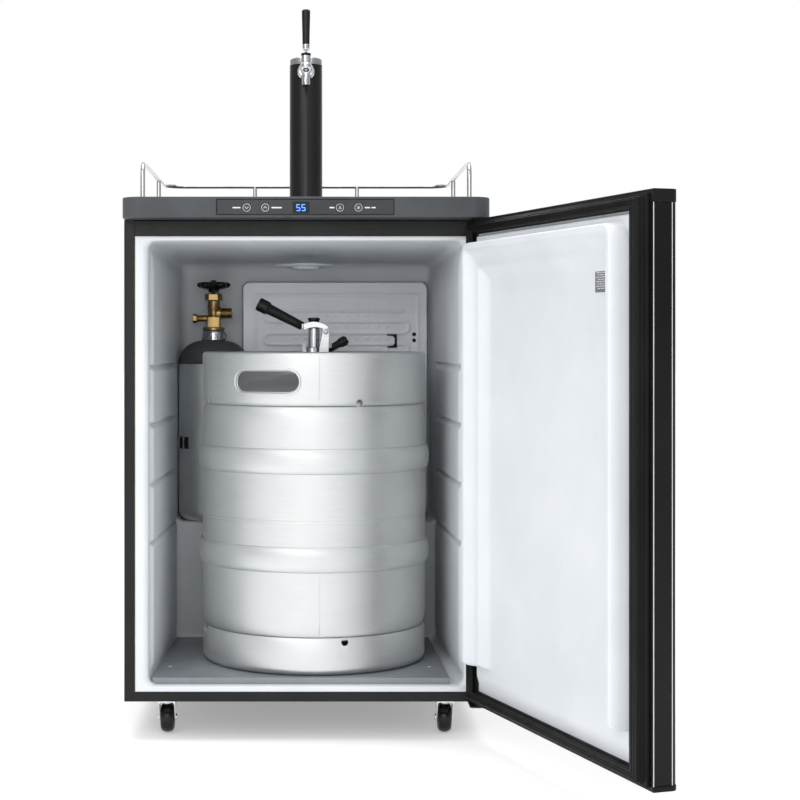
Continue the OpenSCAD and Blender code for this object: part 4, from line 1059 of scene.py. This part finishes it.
def keg():
    """The drum, the two chimes with their slots and drain holes, the rolled rims, and the neck."""
    def hoop(z, half=21.5):
        spread = [-1 + i / 12 for i in range(25)]
        return [(SHELL_R + (RING_R - SHELL_R) * sqrt(max(0.0, 1 - abs(t) ** 2.4)), z + half * t)
            for t in spread]

    shell = [(0, 118), (80, 122), (140, 134), (174, 150), (189, WELD_LO - 5), (190, WELD_LO)]
    shell += oval(190, 200, 7, 33, range(-80, 1, 10)) + hoop(297)
    shell += [(SHELL_R, 356.5), (SHELL_R + 0.5, 357.5), (SHELL_R + 0.5, 359), (SHELL_R, 359.8),
        (SHELL_R, 361.4), (SHELL_R + 0.5, 362.2), (SHELL_R + 0.5, 363.8), (SHELL_R, 364.8)]
    shell += hoop(460.5) + oval(190, 525, 7, 28, range(0, 81, 10))
    shell += [(190, WELD_HI), (188, WELD_HI + 6), (174, 572), (120, 592), (60, 602), (32, 604),
        (31, 605), (31, 609.6), (30.4, 610), (26, 610), (26, 603), (0, 603)]
    build("keg_drum", on_keg(lathe(shell, 192)), "keg_steel", "keg", "keg_shell", angle=26)
    top = KEG_TOP
    chime = [(190.4, 554.5), (192.5, WELD_HI), (195.4, 555.4), (SHELL_R, 560)]
    chime += arc(SHELL_R - 6, top - 6, 6, 0, 180, 14) + arc(SHELL_R - 6, top - 6, 3.6, 180, 0, 10)
    chime += [(SHELL_R - 2.4, 561), (193.4, 556.4)]
    ring = build("keg_collar", on_keg(lathe(chime, 192, True)), "keg_steel", "keg", "keg_top_chime",
        angle=32)
    grips, grip_z = (-25, 155), 593.5  # the two hand slots, in degrees from the front
    cutters = [through(stadium(0, grip_z, 122, 40), a) for a in grips]
    cutters += [through(arc(0, 558, 6, 0, 345, 23), 22.6 + 90 * i) for i in range(4)]
    cut(ring, joined(*cutters))
    rims = []
    for a in grips:
        rims.append(tube(on_drum(stadium(0, grip_z, 124, 42), SHELL_R - 0.6, a), 2.3, 12, closed=True))
        rims.append(tube(on_drum(stadium(0, grip_z, 119, 37), SHELL_R - 4.2, a), 1.5, 10, closed=True))
    for z0, z1, sunk, r in ((562, top - 7, 0.35, 0.75), (172, 270, 0.45, 0.7)):
        rims.append(tube(on_drum([(0, z0), (0, z1)], SHELL_R - sunk, 2.4), r, 8))
    build("keg_rims", joined(*rims), "keg_steel", "keg", angle=60)
    foot = [(192.5, WELD_LO), (190.3, 165.5), (SHELL_R - 3.6, 157)]
    foot += arc(SHELL_R - 13, KEG_FOOT + 12, 9.4, 0, -90, 8)
    foot += [(176, KEG_FOOT + 2.4), (176, KEG_FOOT)]
    foot += oval(SHELL_R - 13, KEG_FOOT + 12, 11.8, 12, [-90 + 90 * i / 14 for i in range(15)])
    foot += [(SHELL_R - 1.2, 159)]
    base = build("keg_foot", on_keg(lathe(foot, 192, True)), "keg_steel", "keg", "keg_bottom_chime",
        angle=32)
    cut(base, joined(*[through(arc(0, 160, 6, 0, 345, 23), 15 + 90 * i) for i in range(4)]))
    neck = [(26, 600), (25.9, 609), (24, 609), (22.6, 608), (19, 608), (19, 606.6), (12.5, 606.4),
        (12.5, 588), (7.5, 588), (7.5, 128), (9, 128), (9, 585), (19, 585), (19, 594), (25.9, 594)]
    build("keg_neck", on_keg(lathe(neck, 64, True)), "stainless", "keg", "keg_spear")


def tilted(shape, x, z, degrees):
    """Stands a turned shape beside the keg's axis, leaning to the left or the right."""
    return on_keg(turned(shape, degrees, "Y"), x, 0, z)


def coupler():
    """The keg coupler: cast body, guide, gas nozzle, sliding probe, yoke and grip."""
    flange = [(10.8, 610.2), (28.8, 610.2), (30, 611.4), (30, 615), (29, 616), (29, 618.6), (30, 619.6),
        (30, 622.8), (28.8, 624), (23, 624), (23, 632.6), (22, 634), (14.5, 634), (14.5, 649.6),
        (13.6, 651), (10.8, 651)]
    parts = [on_keg(lathe(flange, 72, True))]
    lug = moved(prism(rounded(rect(-5, -2.2, 5, 2.2), 1, 3, True), 611, 623), 0, -29.2)
    parts += [on_keg(turned(lug, 60 * i + 15)) for i in range(6)]
    pivot = COUPLER - KEG_AT
    for s in (-1, 1):
        cheek = [(9, 631), (26, 631), (26.6, COUPLER.z - 2), (26.2, COUPLER.z + 4),
            (22, COUPLER.z + 5.4), (16, COUPLER.z + 5), (14, COUPLER.z - 6), (9.5, 650)]
        parts.append(on_keg(facing(rounded(cheek, [1, 1, 3, 3, 4, 4, 6, 4], 5, True), -s * 18 - 2,
            -s * 18 + 2)))
        lo, hi = sorted((s * 10.0, s * 20.0))
        parts.append(on_keg(prism(rounded(rect(0.5, lo, 26.5, hi), 2, 4, True), 624.2, 639.5)))
        boss = along_y(lathe([(2.7, -1), (4.6, -1), (4.6, 0.9), (3.8, 1.4), (2.7, 1.4)], 28, True))
        parts.append(on_keg(mirrored(boss, y=-s), pivot.x, s * 20, COUPLER.z))
    build("coupler_casting", joined(*parts), "cast_metal", "keg", "coupler_body", bevel=0.4, angle=40)
    post = rounded([(-20, 633), (-20, 656), (-14.4, 656), (-14.4, 648), (-12.2, 646), (-12.2, 633)],
        [1, 1.2, 1.2, 1, 1, 1], 4, True)
    guide = on_keg(facing(post, -4, 4))
    block = on_keg(prism(rounded(rect(16.2, -7.6, 31.6, 7.6), 2.4, 5, True), 650, 660.8))
    build("coupler_guide", joined(guide, block), "print_white", "keg", bevel=0.5)
    rings = [(0, 634)]
    for i in range(5):
        z = 634 + 3.0 * i
        rings += [(7.6, z), (8, z + 0.6), (8, z + 2.0), (7.6, z + 2.6)]
    rings += [(7.6, 650), (0, 650)]
    inlet = [tilted(lathe(rings, 40), 24, 0, 0)]
    nozzle = [(0, 0), (6.5, 0), (6.5, 22), (7.2, 23), (7.2, 25)]
    nozzle += [(8.2, 25.6), (8.2, 37), (7.4, 38), (6.3, 38), (6.3, 40), (4.2, 40), (4, 36), (0, 36)]
    inlet.append(tilted(lathe(nozzle, 40), 24, 646, 62))
    rib = prism(rect(-0.8, 8.0, 0.8, 8.7), 26.4, 36.6)
    inlet += [tilted(turned(rib, 30 * i), 24, 646, 62) for i in range(12)]
    build("gas_nozzle", joined(*inlet), "coupler_black", "keg", bevel=0.15, angle=40)
    probe = [(4.8, 626), (9.9, 626), (9.9, 660), (9.9, 684), (4.8, 684)]
    build("probe_sleeve", on_keg(lathe(probe, 48, True)), "chrome", "coupler_probe")
    thread = [(4.8, 684.1), (9.4, 684.1)]
    for i in range(6):
        z = 685 + 2.1 * i
        thread += [(9.4, z), (10.2, z + 0.6), (10.2, z + 0.9), (9.4, z + 1.5)]
    thread += [(9.6, 698), (10.6, 698.6), (10.6, 702.4), (10, 703), (5.4, 703), (4.8, 702.4)]
    build("probe_head", on_keg(lathe(thread, 48, True)), "coupler_black", "coupler_probe",
        "coupler_probe", angle=50)
    parts = []
    arm = oval(0, 650, 42, 46, range(52, 119, 4)) + oval(2, 652, 36, 34, range(122, 57, -4))
    hub = arc(pivot.x, COUPLER.z, 6, 0, 345, 23)
    for s in (-1, 1):
        lo, hi = sorted((-s * 11.6, -s * 14.9))
        parts += [on_keg(facing(arm, lo, hi)), on_keg(facing(hub, lo + 0.1, hi - 0.1))]
        pin = along_y(lathe([(0, 11.6), (2.5, 11.6), (2.5, 22.8), (2, 23.3), (0, 23.3)], 28))
        parts.append(on_keg(mirrored(pin, y=s), pivot.x, 0, COUPLER.z))
    bridge = prism(rounded(rect(-22, -14.9, -17.6, 14.9), 1.5, 4, True), 684.2, 692.4)
    parts.append(on_keg(bridge))
    build("coupler_yoke", joined(*parts), "cast_metal", "coupler_lever", bevel=0.5, angle=40)
    grip = [(0, 0), (6.6, 0), (7.5, 1), (7.9, 16), (9.6, 66), (10.2, 68), (11.6, 69.2), (12, 71),
        (12, 84)]
    grip += arc(9, 86, 3, 0, 90, 6) + [(0, 89)]
    build("coupler_grip", tilted(lathe(grip, 56), -20, 688, -63), "coupler_black", "coupler_lever",
        "coupler_lever", angle=50)


# ---- gas cylinder -------------------------------------------------------------------------------

def gas():
    """The cylinder with its painted shoulder, strap, brass valve, seal wire and handwheel."""
    lo, hi = box_mm("co2_cylinder")
    x, y, z0, r = GAS_AT.x, GAS_AT.y, lo.z, (hi.x - lo.x) / 2 - 1.3
    tank = [(0, z0 + 4), (26, z0 + 1.6), (40, z0)] + arc(r - 20, z0 + 20, 20, -90, 0, 12)
    build("gas_tank", moved(lathe(tank + [(r, 618), (r - 1, 619.5), (0, 619.5)], 128), x, y),
        "cylinder_aluminium", "cabinet", "co2_cylinder", angle=30)
    dome = [(0, 617), (r - 0.9, 617), (r - 0.4, 620)]
    dome += oval(21.6, 621, r - 22, 42, range(6, 85, 6))
    build("gas_shoulder", moved(lathe(dome + [(21.4, 664.5), (0, 664.5)], 128), x, y), "shoulder_grey",
        "cabinet")
    collar = [(0, 664), (21.6, 664), (22.4, 664.8), (22.4, 668), (21.6, 669), (21.6, 679), (20.6, 682),
        (19, 683), (0, 683)]
    build("gas_neck", moved(lathe(collar, 72), x, y), "chrome", "cabinet")
    parts = [moved(lathe(rect(r + 0.05, 460, r + 1.3, 480), 96, True), x, y)]
    parts.append(moved(prism(rounded(rect(-14, r + 0.6, 14, at(527.8) - y), 1, 3, True), 462, 478), x, y))
    build("gas_strap", joined(*parts), "cylinder_aluminium", "cabinet", bevel=0.3)
    buckle = joined(prism(rounded(rect(-15, -r - 1.2, 15, -r + 4), 1.6, 4, True), 459, 481),
        prism(rounded(rect(-5, -r - 1.25, 13, -r - 0.6), 0.4, 3, True), 464, 476))
    build("strap_buckle", moved(turned(buckle, -54), x, y), "coupler_black", "cabinet", bevel=0.4)
    valve = [(0, 683.1), (20.6, 683.1), (21, 683.6), (21, 688), (20, 689), (13, 689.4), (0, 689.4)]
    parts = [moved(lathe(valve, 56), x, y)]
    parts.append(moved(prism(rounded(rect(-13, -13, 13, 13), 2.5, 4, True), 689, 708), x, y))
    neck = [(0, 707), (12.4, 707), (12.6, 709), (11, 712), (11, 722), (12, 724), (12, 739), (0, 739)]
    parts.append(moved(lathe(neck, 48), x, y))
    parts.append(moved(hex_nut(29.4, ((0.92, 740), (1, 741), (1, 751.6), (0.92, 753))), x, y))
    outlet = [(0, 6), (12.5, 6), (12.5, 13.4), (11.6, 14), (10, 14)]
    for i in range(9):
        a = 15 + 2.2 * i
        outlet += [(9.7, a), (10.5, a + 0.7), (10.5, a + 1.0), (9.7, a + 1.7)]
    outlet += [(9.6, 35), (3.5, 35), (3.5, 24), (0, 24)]
    parts.append(moved(along_x(lathe(outlet, 48)), x, y, 716))
    relief = [(0, 8), (6, 8), (6, 32), (5.4, 34), (0, 34)]
    nut = hex_nut(15.6, ((0.9, 32), (1, 32.8), (1, 39.2), (0.9, 40)))
    parts += [moved(mirrored(along_x(shape), x=-1), x, y, 706) for shape in (lathe(relief, 36), nut)]
    build("gas_valve", joined(*parts), "brass", "cabinet", "co2_valve", bevel=0.35, angle=35)
    loop = [(a, y - 12, b) for a, b in oval(x + 19, 672, 5, 7, range(0, 360, 15))]
    build("seal_wire", tube(loop, 0.9, 8, closed=True), "coupler_black", "cabinet", angle=60)
    turns = [2 * pi * i / 96 for i in range(96)]
    rim = [(a, 27.4 + 4.6 * (0.5 + 0.5 * cos(8 * a)) ** 0.7) for a in turns]  # eight scallops
    slices = ((0.40, 761), (0.66, 763), (0.92, 765.4), (1, 768.4), (1, 771.8), (0.94, 774), (0.8, 775.2),
        (0.4, 775.8))
    wheel = loft([[(q * k * cos(a), q * k * sin(a), z) for a, q in rim] for k, z in slices])
    hub = [(0, 737), (4, 737), (4, 756), (10, 756), (10, 761.5), (5.4, 774), (5.4, 778), (4.4, 779),
        (0, 779)]
    build("gas_wheel", moved(joined(wheel, lathe(hub, 48)), x, y), "coupler_black", "co2_handwheel",
        "co2_handwheel", angle=40)


# ---- machine bay at the back --------------------------------------------------------------------

def machine():
    """The compressor on its rubber feet, and the power inlet."""
    x, y = 150.0, at(520)
    dome = [(0, 84), (32, 84)] + [(32 + 28 * sind(a), 112 - 28 * cosd(a)) for a in range(10, 91, 10)]
    dome += [(60, 149), (62, 150), (62, 154), (60, 155), (60, 190)]
    dome += oval(0, 190, 60, 42, range(8, 90, 8)) + [(0, 232)]
    parts = [moved(lathe(dome, 72), x, y)]
    parts.append(moved(prism(rounded(rect(-72, -48, 72, 48), 8, 5, True), 80, 86), x, y))
    parts.append(moved(prism(rounded(rect(-80, -25, -58, 25), 4, 5, True), 130, 185), x, y))
    rubber = lathe([(0, 72.2), (9, 72.2), (9, 75), (7.4, 76), (9, 77), (9, 80), (0, 80)], 32)
    parts += [moved(rubber, x + 62 * sx, y + 38 * sy) for sx, sy in CORNERS]
    build("compressor_shell", joined(*parts), "compressor_black", "cabinet", "compressor", bevel=0.6)
    lo, hi = box_mm("power_inlet")
    plate = along_y(prism(rounded(rect(lo.x, lo.z, hi.x, hi.z), 3, 4, True), -3, 0))
    mid = ((lo.x + hi.x) / 2, (lo.z + hi.z) / 2)
    deep = hi.y - lo.y
    shroud = []
    for a, b, d in ((15, 13, 0), (15, 13, deep), (12, 9, deep), (12, 9, 4)):
        wall = rounded(rect(mid[0] - a, mid[1] - b, mid[0] + a, mid[1] + b), 2, 3, True)
        shroud.append([Vector((p.x, lo.y, p.y)) + Vector((0, d, 0)) for p in wall])
    build("inlet_body", joined(moved(plate, y=lo.y), loft(shroud)), "black_plastic", "cabinet",
        "power_inlet", bevel=0.3, angle=40)
    blades = [prism(rect(mid[0] + d - 1, lo.y + 3.5, mid[0] + d + 1, lo.y + 11), mid[1] - 2, mid[1] + 3)
        for d in (-7, 0, 7)]
    build("inlet_blades", joined(*blades), "chrome", "cabinet", bevel=0.2)


for make in (cabinet_panels, rail_under_top, liner, ports, evaporator, keg_floor, worktop, controls,
        rail, tray, tower, faucet, casters, door_metal, door_inside, gasket, door_label, hinges, keg,
        coupler, gas, machine):
    make()


# ---- floor, light and camera --------------------------------------------------------------------

def studio_floor():
    half = 40  # metres
    mesh = bpy.data.meshes.new("floor")
    mesh.from_pydata([(x, y, 0) for x, y in rect(-half, -half, half, half)], [], [(0, 1, 2, 3)])
    mesh.materials.append(LOOKS["studio_white"])
    obj = bpy.data.objects.new("floor", mesh)
    scene.collection.objects.link(obj)


def soft_light(name, place, target, size, power):
    light = bpy.data.lights.new(name, "AREA")
    light.shape, light.size, light.size_y = "RECTANGLE", size[0], size[1]
    light.energy = power
    obj = bpy.data.objects.new(name, light)
    scene.collection.objects.link(obj)
    obj.location = place
    obj.rotation_euler = (Vector(target) - Vector(place)).to_track_quat("-Z", "Y").to_euler()


def camera():
    """Level, in front of the cabinet; the shift keeps the tower and the open door in the picture."""
    lens = bpy.data.cameras.new("camera")
    lens.lens, lens.sensor_width = 76.05, 36
    lens.shift_x, lens.shift_y = 0.1175, -0.0675
    obj = bpy.data.objects.new("camera", lens)
    scene.collection.objects.link(obj)
    obj.location = (0, -3.077, 0.653)
    obj.rotation_euler = (pi / 2, 0, 0)
    scene.camera = obj


def studio_world():
    """A white surround, darker to the left and right, so that bright metal has edges to show."""
    world = bpy.data.worlds.new("studio")
    world.use_nodes = True
    tree = world.node_tree
    parts = tree.nodes.new("ShaderNodeSeparateXYZ")
    tree.links.new(tree.nodes.new("ShaderNodeTexCoord").outputs["Generated"], parts.inputs[0])
    side = tree.nodes.new("ShaderNodeMath")
    side.operation = "ABSOLUTE"
    tree.links.new(parts.outputs[0], side.inputs[0])
    fall = tree.nodes.new("ShaderNodeMapRange")
    tree.links.new(side.outputs[0], fall.inputs["Value"])
    for key, value in {"From Min": 0.45, "From Max": 0.9, "To Min": 1.0, "To Max": 0.45}.items():
        fall.inputs[key].default_value = value
    tree.links.new(fall.outputs[0], tree.nodes["Background"].inputs["Strength"])
    tree.nodes["Background"].inputs["Color"].default_value = (1, 1, 1, 1)
    scene.world = world


enamel("studio_white", grey(0.93), grey(0.94), (0.85, 0.95), grain=40, bump=0.01, specular=0.1)
floor_paint = LOOKS["studio_white"].node_tree.nodes["Principled BSDF"].inputs
floor_paint["Emission Color"].default_value = (1, 1, 1, 1)
floor_paint["Emission Strength"].default_value = 0.3
studio_floor()
soft_light("key", (-1.6, -3.4, 2.6), (0, 0, 0.5), (1.6, 2.2), 24)
soft_light("fill", (-0.25, -3.3, 1.15), (-0.05, 0.1, 0.5), (1.2, 1.0), 9)
soft_light("top", (0, -0.6, 3.4), (0, 0, 0), (2.6, 2.2), 42)
soft_light("back", (0, 3.0, 2.4), (0, 0, 0.6), (2.6, 1.6), 20)
camera()
studio_world()
scene.view_settings.view_transform = "Standard"
scene.view_settings.look = "None"
